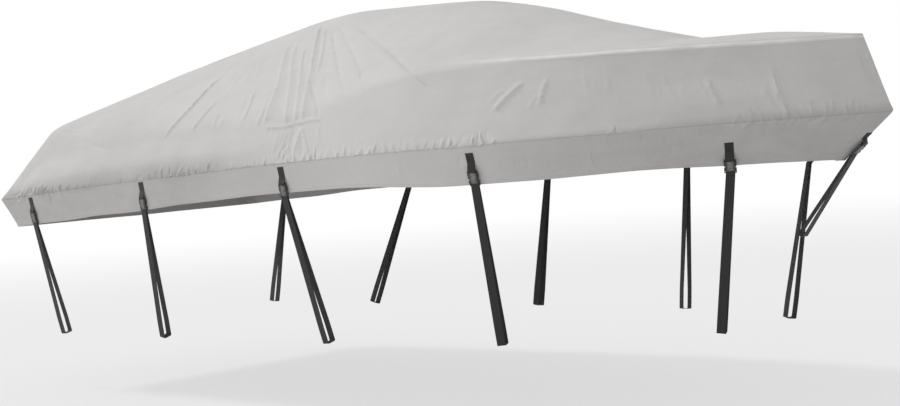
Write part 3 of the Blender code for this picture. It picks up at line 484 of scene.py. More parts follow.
def fading(along, fade_in, fade_out):
    """Share of its height that a fold has along its path: a ramp up, then a ramp down to its end."""
    return smooth_ramp(along, 0, fade_in) * (1 - smooth_ramp(along, 1 - fade_out, 1))


def add_fold(height, points, normals, fold):
    """Adds one fold's height at every point of the cloth.

    Across it, x is the distance in half widths, with one side wider by its lean. The fold stands by its
    height times e to the power of -1.8 times the rounded size of x, and rises and dies towards its ends.
    """
    rise, half_width, lean, fade_in, fade_out, route = fold
    near, distance, along, side = beside(points, normals, route, half_width * 4.5)
    x = distance / (half_width * (1 + lean * side))
    profile = np.exp(-1.8 * (np.sqrt(x * x + FOLD_TIP) - np.sqrt(FOLD_TIP)))
    height[near] += rise * profile * fading(along, fade_in, fade_out)


def add_pleat(height, points, normals, pleat):
    """Adds a pressed pleat: a steep aft side and a wide, nearly flat fore side, widening as it runs down.

    It stands by its height times a power of 1 less x, where x is the distance in widths of that side,
    rounded over the ridge.
    """
    rise, aft, fore, fade_in, fade_out, route = pleat
    near, distance, along, side = beside(points, normals, route, fore * 1.1)
    width = np.where(side > 0, aft, fore) * (PLEAT_TAPER + (1 - PLEAT_TAPER) * along)
    x = np.sqrt((distance / width) ** 2 + (PLEAT_ROUNDING / width) ** 2)
    profile = np.clip(1 - x, 0, 1) ** 1.15
    height[near] += rise * profile * fading(along, fade_in, fade_out)


def add_gathers(height, points, normals):
    """Short uneven puckers across the gunwale, scattered by a fixed seed within each stretch.

    Each is a fold through three points that starts above the gunwale and ends about its stretch's girth.
    It has 0.2 to 1.5 of its stretch's height, small ones being commoner, and every second is a trough.
    """
    dice = np.random.default_rng(7)
    for first, last, per_metre, rise, half_width, low in GATHERS:
        count = int((last - first) * per_metre)
        stations = first + (last - first) * (np.arange(count) + dice.uniform(-0.45, 0.45, count)) / count
        for number, q in enumerate(stations):
            tilt = dice.normal(0, 0.016)
            start, end = dice.uniform(1.83, 1.97), low + dice.uniform(-0.03, 0.05)
            size = rise * (0.2 + 1.3 * dice.uniform() ** 1.6) * (1 if number % 2 else -0.8)
            width = half_width * dice.uniform(0.6, 1.7)
            route = ((q - tilt, start), (q, (start + end) / 2), (q + tilt, end))
            add_fold(height, points, normals, (size, width, dice.uniform(-0.4, 0.4), 0.4, 0.3, route))


def raggedness(length):
    """Uneven wave between about -1 and 1 along a cut edge: a bent sine, a finer one and a slow beat."""
    coarse = np.sin(length * 2 * np.pi / 0.071 + 1.3 * np.sin(length * 2 * np.pi / 0.31))
    fine = np.sin(length * 2 * np.pi / 0.043 + 0.7)
    return 0.55 * coarse + 0.3 * fine + 0.35 * coarse * np.sin(length * 2 * np.pi / 0.187)


def roll_height(q, girths):
    """Soft roll above the gunwale: 3 t squared less 5 t cubed plus 2 t to the fourth, t the share of it."""
    t = np.clip((girths[None] - ROLL_GIRTHS[0]) / (ROLL_GIRTHS[1] - ROLL_GIRTHS[0]), 0, 1)
    return table_curve(q, ROLL)[:, None] * (3 * t ** 2 - 5 * t ** 3 + 2 * t ** 4)


def slack(x, z):
    """Slight unevenness of cloth that isn't quite tight: four crossed waves of different lengths."""
    return (0.0016 * np.sin(2.3 * x + 1.1 * z + 0.4) * np.sin(4.1 * z + 0.7 * x)
            + 0.0011 * np.sin(6.2 * x - 3.4 * z + 1.9) + 0.0007 * np.sin(13.1 * x + 7.3 * z)
            + 0.0005 * np.sin(21.7 * x - 11.9 * z + 0.8))


# ---- mesh making
ORIGIN = np.array([CROWN_X, 0, table_curve(CROWN_X, SPINE_HEIGHTS) - CLOTH])


def make_piece(name, points, faces, uv, look, side=1, smooth_below=40, edge_uv=None):
    """Mesh object from points on boat axes, faces as lists of indices, and UVs in metres per point."""
    points = np.asarray(points, float) * np.array([1, side, 1]) - ORIGIN
    if side < 0:
        faces = turned(faces)
    mesh = bpy.data.meshes.new(name)
    mesh.from_pydata(points.tolist(), [], faces)
    corners = np.empty(len(mesh.loops), int)
    mesh.loops.foreach_get("vertex_index", corners)
    for layer, values in (("cloth", uv), ("edges", edge_uv)):
        if values is not None:
            mesh.uv_layers.new(name=layer).data.foreach_set("uv", np.asarray(values, float)[corners].ravel())
    mesh.shade_smooth()
    mesh.set_sharp_from_angle(angle=np.radians(smooth_below))
    mesh.materials.append(look)
    made = bpy.data.objects.new(name, mesh)
    bpy.context.scene.collection.objects.link(made)
    return made


def numbered(shape, first=0):
    """Point numbers of a grid, counted row by row from the first."""
    return np.arange(shape[0] * shape[1]).reshape(shape[:2]) + first


def turned(faces):
    """Faces wound the other way."""
    return [face[::-1] for face in faces]


def grid_quads(ids):
    """Quads of a grid of point numbers, wound so that they face along rows cross columns, reversed."""
    corners = (ids[:-1, :-1], ids[:-1, 1:], ids[1:, 1:], ids[1:, :-1])
    return np.stack([c.ravel() for c in corners], axis=1).tolist()


def bridge(few, many):
    """Faces between a short row of point numbers and a longer one with a whole number of steps per step."""
    few, many = few.tolist(), many.tolist()
    ratio = (len(many) - 1) // (len(few) - 1)
    return [[few[i], *many[i * ratio:(i + 1) * ratio + 1], few[i + 1]] for i in range(len(few) - 1)]


def cloth_stations():
    """turn and station of the coarse frame lines: round the transom corner, then forward to the bow."""
    side = [np.array([SIDE_START])]
    for end, spacing in STRETCHES:
        start = side[-1][-1]
        side.append(np.linspace(start, end, max(2, round((end - start) / spacing) + 1))[1:])
    side = np.append(np.concatenate(side), LENGTH)
    if (CORNER_STEPS + len(side) - 1) % INSIDE:
        side = np.delete(side, len(side) // 2)
    turn = np.concatenate([np.linspace(0, 1, CORNER_STEPS, endpoint=False), np.ones(len(side))])
    return turn, np.concatenate([np.full(CORNER_STEPS, SIDE_START), side])


def refined(turn, q):
    """The frame lines with FINE - 1 more between each two."""
    share = np.arange(len(q) * FINE - FINE + 1) / FINE
    index = np.arange(len(q))
    return np.interp(share, index, turn), np.interp(share, index, q)


def clear_of_ties(tight, low, high):
    """0 near a side tie's sewn tab, 1 away from it: smooth ramp of the distance from a row of spots."""
    share = np.ones(tight.shape[:2])
    for station, *_ in SIDE_TIES:
        top, bottom = place_on_cloth([station] * 2, TIE_LINE)
        away = [np.linalg.norm(tight - top - (bottom - top) * spot, axis=-1) for spot in TAB_SPOTS]
        share *= smooth_ramp(np.min(away, axis=0), low, high)
    return share


def folded(turn, q, girths):
    """Cloth with its folds: points, directions out of it, and the tight cloth's points below the folds."""
    tight = rounded_section(lengthwise_lines(turn, q), girths)
    normals = outward(tight)
    height = np.zeros(tight.shape[:2])
    for fold in FOLDS:
        add_fold(height, tight, normals, fold)
    for pleat in PLEATS:
        add_pleat(height, tight, normals, pleat)
    if girths[-1] > PANEL_GIRTHS[-1][0]:
        add_gathers(height, tight, normals)
    height += slack(tight[..., 0], tight[..., 2]) * smooth_ramp(girths, 0, SLACK_GIRTH)[None]
    height += roll_height(np.where(turn < 1, turn * SIDE_START, q), girths)
    # the cloth is flat under the sewn tabs, and held level along the centre seam and at the stem
    height *= clear_of_ties(tight, *TIE_CLEARANCE)
    height *= smooth_ramp(np.abs(tight[..., 1]), 0.0, LEVEL_WIDTH)
    return tight + normals * height[..., None], normals, tight


def cloth_lengths(tight, gunwale_column):
    """u, metres along the gunwale, and v, metres up from it, for every point."""
    along = np.linalg.norm(np.diff(tight[:, gunwale_column], axis=0), axis=-1)
    u = np.concatenate([[0], np.cumsum(along)])
    up = np.linalg.norm(np.diff(tight, axis=1), axis=-1)
    v = -np.concatenate([np.zeros((len(tight), 1)), np.cumsum(up, axis=1)], axis=1)
    v -= v[:, gunwale_column:gunwale_column + 1]
    return np.broadcast_to(u[:, None], v.shape), v


# ---- materials
def colour(red, green, blue):
    """Linear colour from the 0 to 255 values that a paint chart gives."""
    values = np.array([red, green, blue]) / 255
    return tuple(np.where(values <= 0.04045, values / 12.92, ((values + 0.055) / 1.055) ** 2.4)) + (1.0,)


class Nodes:
    """A material's node tree, with one short call for each node and its links."""

    def __init__(self, name):
        self.material = bpy.data.materials.new(name)
        self.material.use_nodes = True
        self.tree = self.material.node_tree
        self.shader = self.tree.nodes["Principled BSDF"]

    def add(self, kind, settings=None, **inputs):
        """Adds a node. An input given as a socket is linked, anything else is its value; i0 is the first."""
        made = self.tree.nodes.new("ShaderNode" + kind)
        for name, value in (settings or {}).items():
            setattr(made, name, value)
        for name, value in inputs.items():
            numbered = name[0] == "i" and name[1:].isdigit()
            self.join(value, made.inputs[int(name[1:]) if numbered else name.replace("_", " ")])
        return made

    def join(self, value, socket):
        if isinstance(value, bpy.types.NodeSocket):
            self.tree.links.new(value, socket)
        else:
            socket.default_value = value

    def math(self, operation, a, b=0.0):
        return self.add("Math", {"operation": operation}, i0=a, i1=b).outputs[0]

    def times(self, a, b):
        return self.math("MULTIPLY", a, b)

    def plus(self, a, b):
        return self.math("ADD", a, b)

    def off(self, a, middle=0.0):
        """Distance of a value from a middle one."""
        return self.math("ABSOLUTE", self.math("SUBTRACT", a, middle))

    def ramp(self, value, low, high, out_low=0.0, out_high=1.0):
        """Smooth step of a value from low to high."""
        return self.add("MapRange", {"interpolation_type": "SMOOTHSTEP"}, Value=value, From_Min=low,
                        From_Max=high, To_Min=out_low, To_Max=out_high).outputs["Result"]

    def noise(self, where, scale, detail=3.0, rough=0.55):
        return self.add("TexNoise", {"noise_dimensions": "3D"}, Vector=where, Scale=scale, Detail=detail,
                        Roughness=rough).outputs["Fac"]

    def stretched(self, where, scale):
        return self.add("Mapping", Vector=where, Scale=scale).outputs["Vector"]

    def place(self):
        return self.add("TexCoord").outputs["Object"]

    def lengths(self, layer):
        """The two values of a UV map, and the map itself."""
        uv = self.add("UVMap", {"uv_map": layer}).outputs["UV"]
        return self.axis(uv, "X"), self.axis(uv, "Y"), uv

    def axis(self, vector, name):
        return self.add("SeparateXYZ", Vector=vector).outputs[name]

    def mix(self, share, a, b):
        """a turning into b. Inputs 6 and 7 of a Mix node are its colours, and output 2 is its colour."""
        return self.add("Mix", {"data_type": "RGBA"}, Factor=share, i6=a, i7=b).outputs[2]

    def bump(self, height, strength, distance, under=None):
        made = self.add("Bump", Height=height, Strength=strength, Distance=distance)
        if under is not None:
            self.join(under, made.inputs["Normal"])
        return made.outputs["Normal"]

    def finish(self, paint, relief, roughness, plain):
        """Sets the shader's colour, relief, roughness and plain values, and gives the material."""
        for name, value in {"Base Color": paint, "Normal": relief, "Roughness": roughness, **plain}.items():
            self.join(value, self.shader.inputs[name])
        return self.material


def stitch_rows(nodes, u, offsets, distance):
    """1 on the threads of rows of stitches: each a dashed line at one distance from an edge."""
    dash = nodes.ramp(nodes.math("PINGPONG", nodes.math("DIVIDE", u, STITCH), 1.0), 0.18, 0.32)
    rows = 0.0
    for offset in offsets:
        line = nodes.ramp(nodes.off(distance, offset), *THREAD, 1.0, 0.0)
        rows = nodes.math("MAXIMUM", rows, line)
    return nodes.times(rows, dash)


# lengths in metres; a scale is how many times a pattern repeats per metre along each of its axes
STITCH = 0.0045                  # half the distance from one stitch to the next
THREAD = (0.0004, 0.0011)        # from a row's middle: all thread within the first, none beyond the second
WEAVE_TURN = 3900.0              # angle of the weave's wave gained per metre, radians
RIB_TURN = 2800.0                # the same of the webbing's ribs
CHEVRON = 0.0048                 # width of one slope of its herringbone
SELVEDGE = (0.0150, 0.0165)      # from the webbing's middle: where its selvedge begins
WARP_SCALE = (900.0, 60.0, 1.0)
WEFT_SCALE = (55.0, 820.0, 1.0)
PATCH_SCALE = (3.0, 3.0, 9.0)
CRINKLE_SCALE = (75.0, 16.0, 1.0)
RIB_HIGHLIGHT_PATCH_SCALE = (160.0, 30.0, 1.0)
CLOUD_SCALE = 1.7
GRAIN_SCALE = 26.0
BEAD_HIGHLIGHT_PATCHES = 9.0
SCUFF_SCALE = 90.0
SPARK_SCALE = 1500.0
PAINTED_LIGHT_POOL = (0.75, 1.70)            # x of the middle of the stretch painted lighter, a painted pool of light, and its half length
# colour that the painted light tends to, and its largest share, on the panel and the skirt
PAINTED_LIGHT_TONES = {"panel": (colour(222, 221, 219), 0.42), "skirt": (colour(224, 221, 219), 0.68)}
PAINTED_LIGHT_TOP = (0.34, 0.66)        # heights up the panel between which the painted light ends
EDGE_PAINTED_SHADE = (2.1, 3.0, 0.060)    # x over which painted shade comes in close to the gunwale, and its width
GUNWALE_PAINTED_SHADE = colour(176, 173, 171)     # what the cloth tends to just above the gunwale: painted shade
PAINTED_SHADE_BAND = 0.15                 # how far above it
PAINTED_SHADE_FOOT = -0.01                # how far below it the painted shade starts to thin out
PAINTED_SHADE_AFT = (-0.6, 0.2)           # from all of it aft of the first x to an eighth forward of the second
BEAD_HIGHLIGHT = colour(232, 231, 229)     # painted highlight along the bead
BEAD_HIGHLIGHT_FROM = (1.1, 2.1)           # x over which it comes in
BEAD_HIGHLIGHT_GIRTHS = (0.008, 0.036)     # from the bead: all of it within the first girth, none beyond the second


def painted_shade_and_highlight(nodes, paint, up, forward, clouds, place, off_bead):
    """A panel's colour with a soft band of painted shade above the gunwale and a painted highlight along its
    bead.
    """
    # painted shade: a soft darker band above the gunwale, patchy by the clouds, full aft and thinner forward
    band = nodes.ramp(up, PAINTED_SHADE_FOOT, PAINTED_SHADE_BAND, 1.0, 0.0)
    band = nodes.times(band, nodes.ramp(clouds, 0.25, 0.6, 0.45, 1.0))
    paint = nodes.mix(nodes.times(band, nodes.ramp(forward, *PAINTED_SHADE_AFT, 1.0, 0.12)), paint, GUNWALE_PAINTED_SHADE)
    # painted shade close to the gunwale, coming in forward
    close = nodes.ramp(up, PAINTED_SHADE_FOOT, EDGE_PAINTED_SHADE[2], 0.75, 0.0)
    paint = nodes.mix(nodes.times(close, nodes.ramp(forward, *EDGE_PAINTED_SHADE[:2])), paint, GUNWALE_PAINTED_SHADE)
    # painted highlight: a pale band along the bead, patchy
    highlight_patches = nodes.times(nodes.ramp(off_bead, *BEAD_HIGHLIGHT_GIRTHS, 1.0, 0.0), nodes.ramp(forward, *BEAD_HIGHLIGHT_FROM))
    patchy = nodes.ramp(nodes.noise(place, BEAD_HIGHLIGHT_PATCHES), 0.3, 0.7, 0.55, 1.0)
    return nodes.mix(nodes.times(highlight_patches, patchy), paint, BEAD_HIGHLIGHT)


def canvas(name, kind, base, shade, edge_stitches, lap_stitches=()):
    """Coated polyester canvas: slubby plain weave, faint clouds of tone, and the thread of its seams.

    base is its colour and shade what its hollows and clouds tend to. Weave, slubs, crinkles and stitches
    lie on the cloth's own lengths in metres, clouds on its place. The cloth is painted lighter about
    amidships, a painted pool of light; a panel has painted shade above the gunwale and a painted highlight
    along its bead on the shoulder.
    """
    nodes = Nodes(name)
    u, v, cloth = nodes.lengths("cloth")
    past_bead, to_edge, _ = nodes.lengths("edges")
    place = nodes.place()
    forward = nodes.axis(place, "X")
    warp = nodes.noise(nodes.stretched(cloth, WARP_SCALE), 1.0, 2.0)
    weft = nodes.noise(nodes.stretched(cloth, WEFT_SCALE), 1.0, 2.0)
    threads = nodes.plus(nodes.times(warp, 0.4), nodes.times(weft, 0.6))
    weave = nodes.times(*(nodes.math("SINE", nodes.times(length, WEAVE_TURN)) for length in (u, v)))
    clouds = nodes.noise(place, CLOUD_SCALE, 4.0, 0.6)
    patches = nodes.noise(nodes.stretched(place, PATCH_SCALE), 2.2, 3.0)
    tone = nodes.plus(nodes.ramp(clouds, 0.35, 0.70, 0.0, 0.55), nodes.ramp(patches, 0.40, 0.68, 0.0, 0.25))
    tone = nodes.plus(tone, nodes.ramp(threads, 0.38, 0.62, 0.0, 0.30))
    thread = stitch_rows(nodes, u, edge_stitches, to_edge)
    if lap_stitches:
        thread = nodes.math("MAXIMUM", thread, stitch_rows(nodes, u, lap_stitches, v))
    # painted light: the cloth is painted lighter about amidships, up to about half a metre above the gunwale
    along = nodes.ramp(nodes.off(forward, PAINTED_LIGHT_POOL[0]), 0.0, PAINTED_LIGHT_POOL[1], 1.0, 0.0)
    pale, share = PAINTED_LIGHT_TONES[kind]
    painted_light = nodes.times(nodes.times(along, nodes.ramp(v, *PAINTED_LIGHT_TOP, 1.0, 0.0)), share)
    paint = nodes.mix(painted_light, nodes.mix(tone, base, shade), pale)
    if kind == "panel":
        paint = painted_shade_and_highlight(nodes, paint, v, forward, clouds, place, nodes.off(past_bead))
    paint = nodes.mix(nodes.times(thread, 0.45), paint, tuple(c * 0.62 for c in base[:3]) + (1.0,))
    relief = nodes.bump(weave, 0.10, 0.0004)
    relief = nodes.bump(threads, 0.30, 0.0016, relief)
    relief = nodes.bump(nodes.noise(place, GRAIN_SCALE, 4.0, 0.6), 0.35, 0.004, relief)
    crinkles = nodes.noise(nodes.stretched(cloth, CRINKLE_SCALE), 1.0, 3.0)
    relief = nodes.bump(crinkles, 0.25 if kind == "panel" else 0.55, 0.0035, relief)
    relief = nodes.bump(thread, 0.6, 0.0008, relief)
    return nodes.finish(paint, relief, nodes.ramp(threads, 0.3, 0.7, 0.78, 0.92),
                        {"Specular IOR Level": 0.25, "Sheen Weight": 0.12, "Sheen Roughness": 0.5})


def webbing_look(name, base, glint):
    """Black woven webbing: a herringbone of ribs between two selvedges, with painted glints on the rib crowns
    in patches.
    """
    nodes = Nodes(name)
    across, along, cloth = nodes.lengths("cloth")
    chevron = nodes.math("PINGPONG", nodes.plus(across, 1.0), CHEVRON)
    ribs = nodes.math("SINE", nodes.times(nodes.plus(along, chevron), RIB_TURN))
    cords = nodes.math("SINE", nodes.times(across, WEAVE_TURN))
    weave = nodes.plus(nodes.times(ribs, 0.6), nodes.times(cords, 0.4))
    highlight_patches = nodes.noise(nodes.stretched(cloth, RIB_HIGHLIGHT_PATCH_SCALE), 1.0, 3.0)
    # painted glints: the rib crowns are painted lighter, in patches
    share = nodes.times(nodes.ramp(weave, -0.2, 1.0), nodes.ramp(highlight_patches, 0.3, 0.75, 0.15, 0.9))
    relief = nodes.bump(nodes.ramp(nodes.off(across), *SELVEDGE), 0.5, 0.0006, nodes.bump(weave, 0.5, 0.0006))
    return nodes.finish(nodes.mix(share, base, glint), relief, nodes.ramp(highlight_patches, 0.3, 0.7, 0.48, 0.66),
                        {"Specular IOR Level": 0.4, "Sheen Weight": 0.25, "Sheen Roughness": 0.4})


def moulded_look(name, base, scuff_and_highlight):
    """Moulded black nylon: fine spark texture, faces slightly crowned, scattered paler scuffs, and a painted
    highlight on their middle, patchy by the same marks.
    """
    nodes = Nodes(name)
    place = nodes.place()
    marks = nodes.noise(place, SCUFF_SCALE, 5.0, 0.7)
    off_middle = nodes.off(nodes.lengths("cloth")[0])
    middle = nodes.ramp(off_middle, 0.006, BUCKLE_WIDTH * 0.42, 1.0, 0.0)
    # painted highlight: the middle of each face is painted paler, patchy
    painted_middle_highlight = nodes.times(middle, nodes.ramp(marks, 0.30, 0.60, 0.35, 1.0))
    scuffs_and_highlight = nodes.math("MAXIMUM", nodes.ramp(marks, 0.52, 0.75, 0.0, 0.6), painted_middle_highlight)
    crown = nodes.bump(nodes.times(nodes.math("POWER", off_middle, 2.0), -3.0), 1.0, 1.0)
    relief = nodes.bump(nodes.noise(place, SPARK_SCALE, 2.0), 0.2, 0.0002, crown)
    return nodes.finish(nodes.mix(scuffs_and_highlight, base, scuff_and_highlight), relief, nodes.ramp(marks, 0.3, 0.7, 0.20, 0.36),
                        {"Specular IOR Level": 0.55})


# ---- panels and skirts
def panel_girths():
    """Girths of the panel's coarse columns, an even number of steps."""
    coarse = [np.array([0.0])]
    for end, spacing in PANEL_GIRTHS:
        start = coarse[-1][-1]
        coarse.append(np.linspace(start, end, round((end - start) / spacing) + 1)[1:])
    coarse = np.concatenate(coarse)
    return np.delete(coarse, 3) if (len(coarse) - 1) % INSIDE else coarse


def lapped_edge(lower, out, tight, gunwale, place):
    """The panel's cloth with its edge below the gunwale as wide, ragged and flared as its table says.

    Each row of points below the gunwale keeps its direction and gets a length of the table's width,
    more or less by the ragged wave, and stands out by the flare times a power of the share of it gone.
    """
    wave = raggedness(cloth_lengths(tight, gunwale)[0][:, :1])
    ragged, width, flare = (table_curve(place, LAP_EDGE, column)[:, None] for column in (1, 2, 3))
    for station, *_ in SIDE_TIES:
        ragged = ragged * smooth_ramp(np.abs(place - station), *TIE_PLAIN)[:, None]
    below = lower[:, gunwale:] - lower[:, gunwale:gunwale + 1]
    reach = np.linalg.norm(below[:, -1:], axis=-1)
    below = below * (width * (1 + 0.6 * ragged * wave) / reach)[..., None]
    share = np.linspace(0, 1, below.shape[1])[None]
    flared = flare * (1 + 0.9 * ragged * np.roll(wave, 9, axis=0)) * share ** 1.5
    lower[:, gunwale:] = lower[:, gunwale:gunwale + 1] + below + out[:, gunwale:] * flared[..., None]
    return lower


def panel_faces(outer, fine, inner):
    """Faces of a panel: its three grids, the strips that join them, and its closed front and back ends."""
    faces = grid_quads(outer) + grid_quads(fine) + turned(grid_quads(inner))
    faces += bridge(outer[:, -1], fine[:, 0]) + turned(bridge(inner[:, -1], fine[:, -1]))
    faces += bridge(inner[:, 0], outer[:, 0])
    for row in (0, -1):
        end = bridge(inner[row, :-1], outer[row])
        end.append([inner[row, -2], outer[row, -1], *fine[row], inner[row, -1]])
        faces += end if row else turned(end)
    return faces


def panel_uvs(tight, fine_tight, gunwale, girths, q):
    """UV maps of a panel's three grids: metres along and up the cloth, then past the bead and from the seam.

    The fine rows give the length along, and the length up is measured from the gunwale on each frame line.
    """
    fine_u, fine_v = cloth_lengths(fine_tight, gunwale)
    top_v = cloth_lengths(tight, tight.shape[1] - 1)[1]
    top_u = np.broadcast_to(fine_u[::FINE, :1], top_v.shape)
    step = np.linalg.norm(tight[:, -1] - fine_tight[::FINE, 0], axis=-1)[:, None]
    top_v = top_v + fine_v[::FINE, :1] + step
    inside_v = np.concatenate([top_v[::INSIDE, ::INSIDE], fine_v[::FINE * INSIDE, -1:]], axis=1)
    inside_u = np.broadcast_to(top_u[::INSIDE, :1], inside_v.shape)
    fine_seam = np.repeat(top_v[:, :1], FINE, axis=0)[:len(fine_v)] - fine_v
    past_bead = girths - table_curve(q, BEAD)[:, None]
    far = (np.ones(fine_v.shape), np.ones(inside_v.shape))
    grids = ((top_u, fine_u, inside_u), (top_v, fine_v, inside_v), (past_bead, *far),
             (top_v[:, :1] - top_v, fine_seam, inside_v[:, :1] - inside_v))
    u, v, past, seam = (np.concatenate([grid.ravel() for grid in three]) for three in grids)
    return np.stack([u, v], axis=1), np.stack([past, seam], axis=1)


def cloth_area(tight):
    """Area of a grid's quads, each as the parallelogram of two of its edges."""
    return np.linalg.norm(np.cross(tight[1:, :-1] - tight[:-1, :-1], tight[:-1, 1:] - tight[:-1, :-1]),
                          axis=-1).sum()


def add_panel(side, look, suffix):
    """Top panel: outer skin fine near the gunwale, its lapped edge, and a coarser inner skin."""
    turn, q = cloth_stations()
    fine_turn, fine_q = refined(turn, q)
    girths = panel_girths()
    upper, upper_out, upper_tight = folded(turn, q, girths)
    # the shared columns make the directions of both grids agree where they meet, and are dropped again
    shared = SHARED_COLUMNS
    fine_girths = np.concatenate([girths[-shared:], EDGE_GIRTHS])
    lower, lower_out, lower_tight = folded(fine_turn, fine_q, fine_girths)
    lower = lower + lower_out * (LAP_RISE * smooth_ramp(fine_girths, 1.86, 2.0))[None, :, None]
    gunwale = EDGE_GIRTHS.index(2.0)
    place = np.where(fine_turn < 1, fine_turn * SIDE_START, fine_q)
    lower = lapped_edge(lower, lower_out, lower_tight, gunwale + shared, place)
    upper[:, -1] = lower[::FINE, shared - 1]
    lower, lower_out, lower_tight = lower[:, shared:], lower_out[:, shared:], lower_tight[:, shared:]
    skin = (upper - upper_out * CLOTH)[::INSIDE, ::INSIDE]
    edge = (lower[:, -1] - lower_out[:, -1] * CLOTH)[::FINE * INSIDE, None]
    skin = np.concatenate([skin, edge], axis=1)
    skin[:, 0, 1] = np.minimum(skin[:, 0, 1], -SEAM_GAP)
    upper[:, 0, 1] = -SEAM_GAP
    outer = numbered(upper.shape)
    fine = numbered(lower.shape, outer.size)
    inner = numbered(skin.shape, outer.size + fine.size)
    points = np.concatenate([grid.reshape(-1, 3) for grid in (upper, lower, skin)])
    uv, edge_uv = panel_uvs(upper_tight, lower_tight, gunwale, girths, q)
    made = make_piece("cover_panel" + suffix, points, panel_faces(outer, fine, inner), uv, look, side,
                      PIECE_SMOOTH, edge_uv)
    return made, cloth_area(upper_tight)


SKIRT_TOP = 1.99                 # girth at which the skirt starts, under the panel's edge
SKIRT_COLUMNS = 26
HEM_BAND = (0.028, 0.022)        # distances above the hem over which the turned-up hem begins
HEM_RISE = 0.0016                # how far it stands out
SCALLOP = (0.34, 1.36)           # x of a tie, and the distance to the next


def add_skirt(side, look, suffix):
    """Skirt below the gunwale: outer skin with its puckers and turned hem, and a coarser inner skin.

    Between ties the hem eases out and up a little: a raised cosine of x plus a product of two sines.
    """
    turn, q = refined(*cloth_stations())
    girths = np.linspace(SKIRT_TOP, 3.0, SKIRT_COLUMNS + 1)
    cloth, out, tight = folded(turn, q, girths)
    u, v = cloth_lengths(tight, 0)
    above_hem = v - v[:, -1:]
    hem = HEM_RISE * smooth_ramp(above_hem, *HEM_BAND)
    x = tight[:, :1, 0]
    sag = 0.5 - 0.5 * np.cos(2 * np.pi * (x - SCALLOP[0]) / SCALLOP[1])
    wander = np.sin(5.1 * x + 0.8) * np.sin(2.3 * x)
    low = smooth_ramp(girths, 2.3, 3.0)[None]
    lift = (0.004 * sag + 0.005 * wander) * low * (np.abs(tight[:, :1, 1]) > 0.05)
    cloth = cloth + out * (hem + 0.6 * lift)[..., None] + np.array([0, 0, 1]) * lift[..., None]
    cloth[..., 1] = np.minimum(cloth[..., 1], -SEAM_GAP)
    step = FINE * INSIDE
    skin = (cloth - out * CLOTH)[::step, ::INSIDE]
    skin[..., 1] = np.minimum(skin[..., 1], -SEAM_GAP)
    outer = numbered(cloth.shape)
    inner = numbered(skin.shape, outer.size)
    faces = grid_quads(outer) + turned(grid_quads(inner))
    faces += bridge(inner[:, 0], outer[:, 0]) + turned(bridge(inner[:, -1], outer[:, -1]))
    faces += turned(bridge(inner[0], outer[0])) + bridge(inner[-1], outer[-1])
    points = np.concatenate([cloth.reshape(-1, 3), skin.reshape(-1, 3)])
    u, v, above_hem = (np.concatenate([a.ravel(), a[::step, ::INSIDE].ravel()]) for a in (u, v, above_hem))
    made = make_piece("cover_skirt" + suffix, points, faces, np.stack([u, v], axis=1), look, side,
                      PIECE_SMOOTH, np.stack([u, above_hem], axis=1))
    return made, cloth_area(tight)


# ---- ties
def skirt_patch(q, distances):
    """Skirt points and outward directions, starboard side, at stations q and distances below the gunwale."""
    sample = np.concatenate([q - STEP, q, np.minimum(q + STEP, LENGTH)])
    lines = lengthwise_lines(np.ones(len(sample)), sample)
    gunwale, hem = lines[2], lines[3]
    slope = unit(hem - gunwale)
    grid = gunwale[None] + slope[None] * distances[:, None, None]
    before, at, after = np.split(grid, 3, axis=1)
    normal = np.cross(np.broadcast_to(np.split(slope, 3)[1], at.shape), after - before)
    normal[:, q > LENGTH - STEP / 2, 1] = 0
    return at, unit(normal)


def tie_patch(tie, side):
    """Cloth under a tie's sewn tab, rows down and columns across, with the directions out of it."""
    mirror = np.array([1, side, 1])
    distances = tie["top"] + np.linspace(0, tie["sewn"], 5)
    half = WEBBING[0] / 2
    if tie["station"] < LENGTH:
        start = skirt_patch(np.array([tie["station"], tie["station"] + STEP]), np.array([0, STEP]))[0]
        per_station = np.linalg.norm(start[0, 1] - start[0, 0]) / STEP
        slant = unit(start[1, 0] - start[0, 0]).dot(unit(start[0, 1] - start[0, 0]))
        rows = []
        for distance in distances / np.sqrt(1 - slant ** 2):
            q = tie["station"] + (np.array([-half, 0, half]) - slant * distance) / per_station
            rows.append(skirt_patch(q, np.array([distance])))
        points = np.concatenate([row[0] for row in rows])
        out = np.concatenate([row[1] for row in rows])
        return points * mirror, out * mirror
    scan = np.linspace(LENGTH - 0.05, LENGTH, 200)
    reach = half_breadth(scan, HALF_BEAM, TRANSOM_SHARE, LENGTH)
    q = np.interp([half, half / 2], reach[::-1], scan[::-1])
    points, out = skirt_patch(np.array([q[0], q[1], LENGTH]), distances)
    port = [(grid[:, :2] * np.array([1, -1, 1]))[:, ::-1] for grid in (points, out)]
    return np.concatenate([points, port[0]], axis=1), np.concatenate([out, port[1]], axis=1)


def tie_frame(points, out):
    """Top point of a tie and its directions across, down and out, a right-handed set."""
    middle = points.shape[1] // 2
    down = unit(points[-1, middle] - points[0, middle])
    away = unit(out[0, middle] - down * out[0, middle].dot(down))
    return points[0, middle], np.cross(down, away), down, away


def tab_rows(tie, points, out, frame_of_tie):
    """Middle surface of a tab: sewn to the skirt, then out, round the socket's bar and back under itself."""
    top, across, down, away = frame_of_tie
    rows = list(points + out * (TAB_LIFT + WEBBING[1] / 2))
    offsets = np.linspace(-1, 1, points.shape[1]) * WEBBING[0] / 2
    if across.dot(points[0, -1] - points[0, 0]) < 0:
        offsets = -offsets

    def row(along, height):
        return top + down * along + away * height + across * offsets[:, None]

    flat = row(tie["tab"] - 2 * TURN_RADIUS, BUCKLE_LIFT + TURN_RADIUS)
    rows += [(rows[-1] * 2 + flat) / 3, (rows[-1] + flat * 2) / 3, flat]
    for angle in np.radians(np.linspace(90, -90, TURN_STEPS)):
        along, height = TURN_RADIUS * np.cos(angle), TURN_RADIUS * np.sin(angle)
        rows.append(row(tie["tab"] + along, BUCKLE_LIFT + height))
    rows.append(row(tie["tab"] - TAB_RETURN, BUCKLE_LIFT - TURN_RADIUS))
    return np.array(rows)


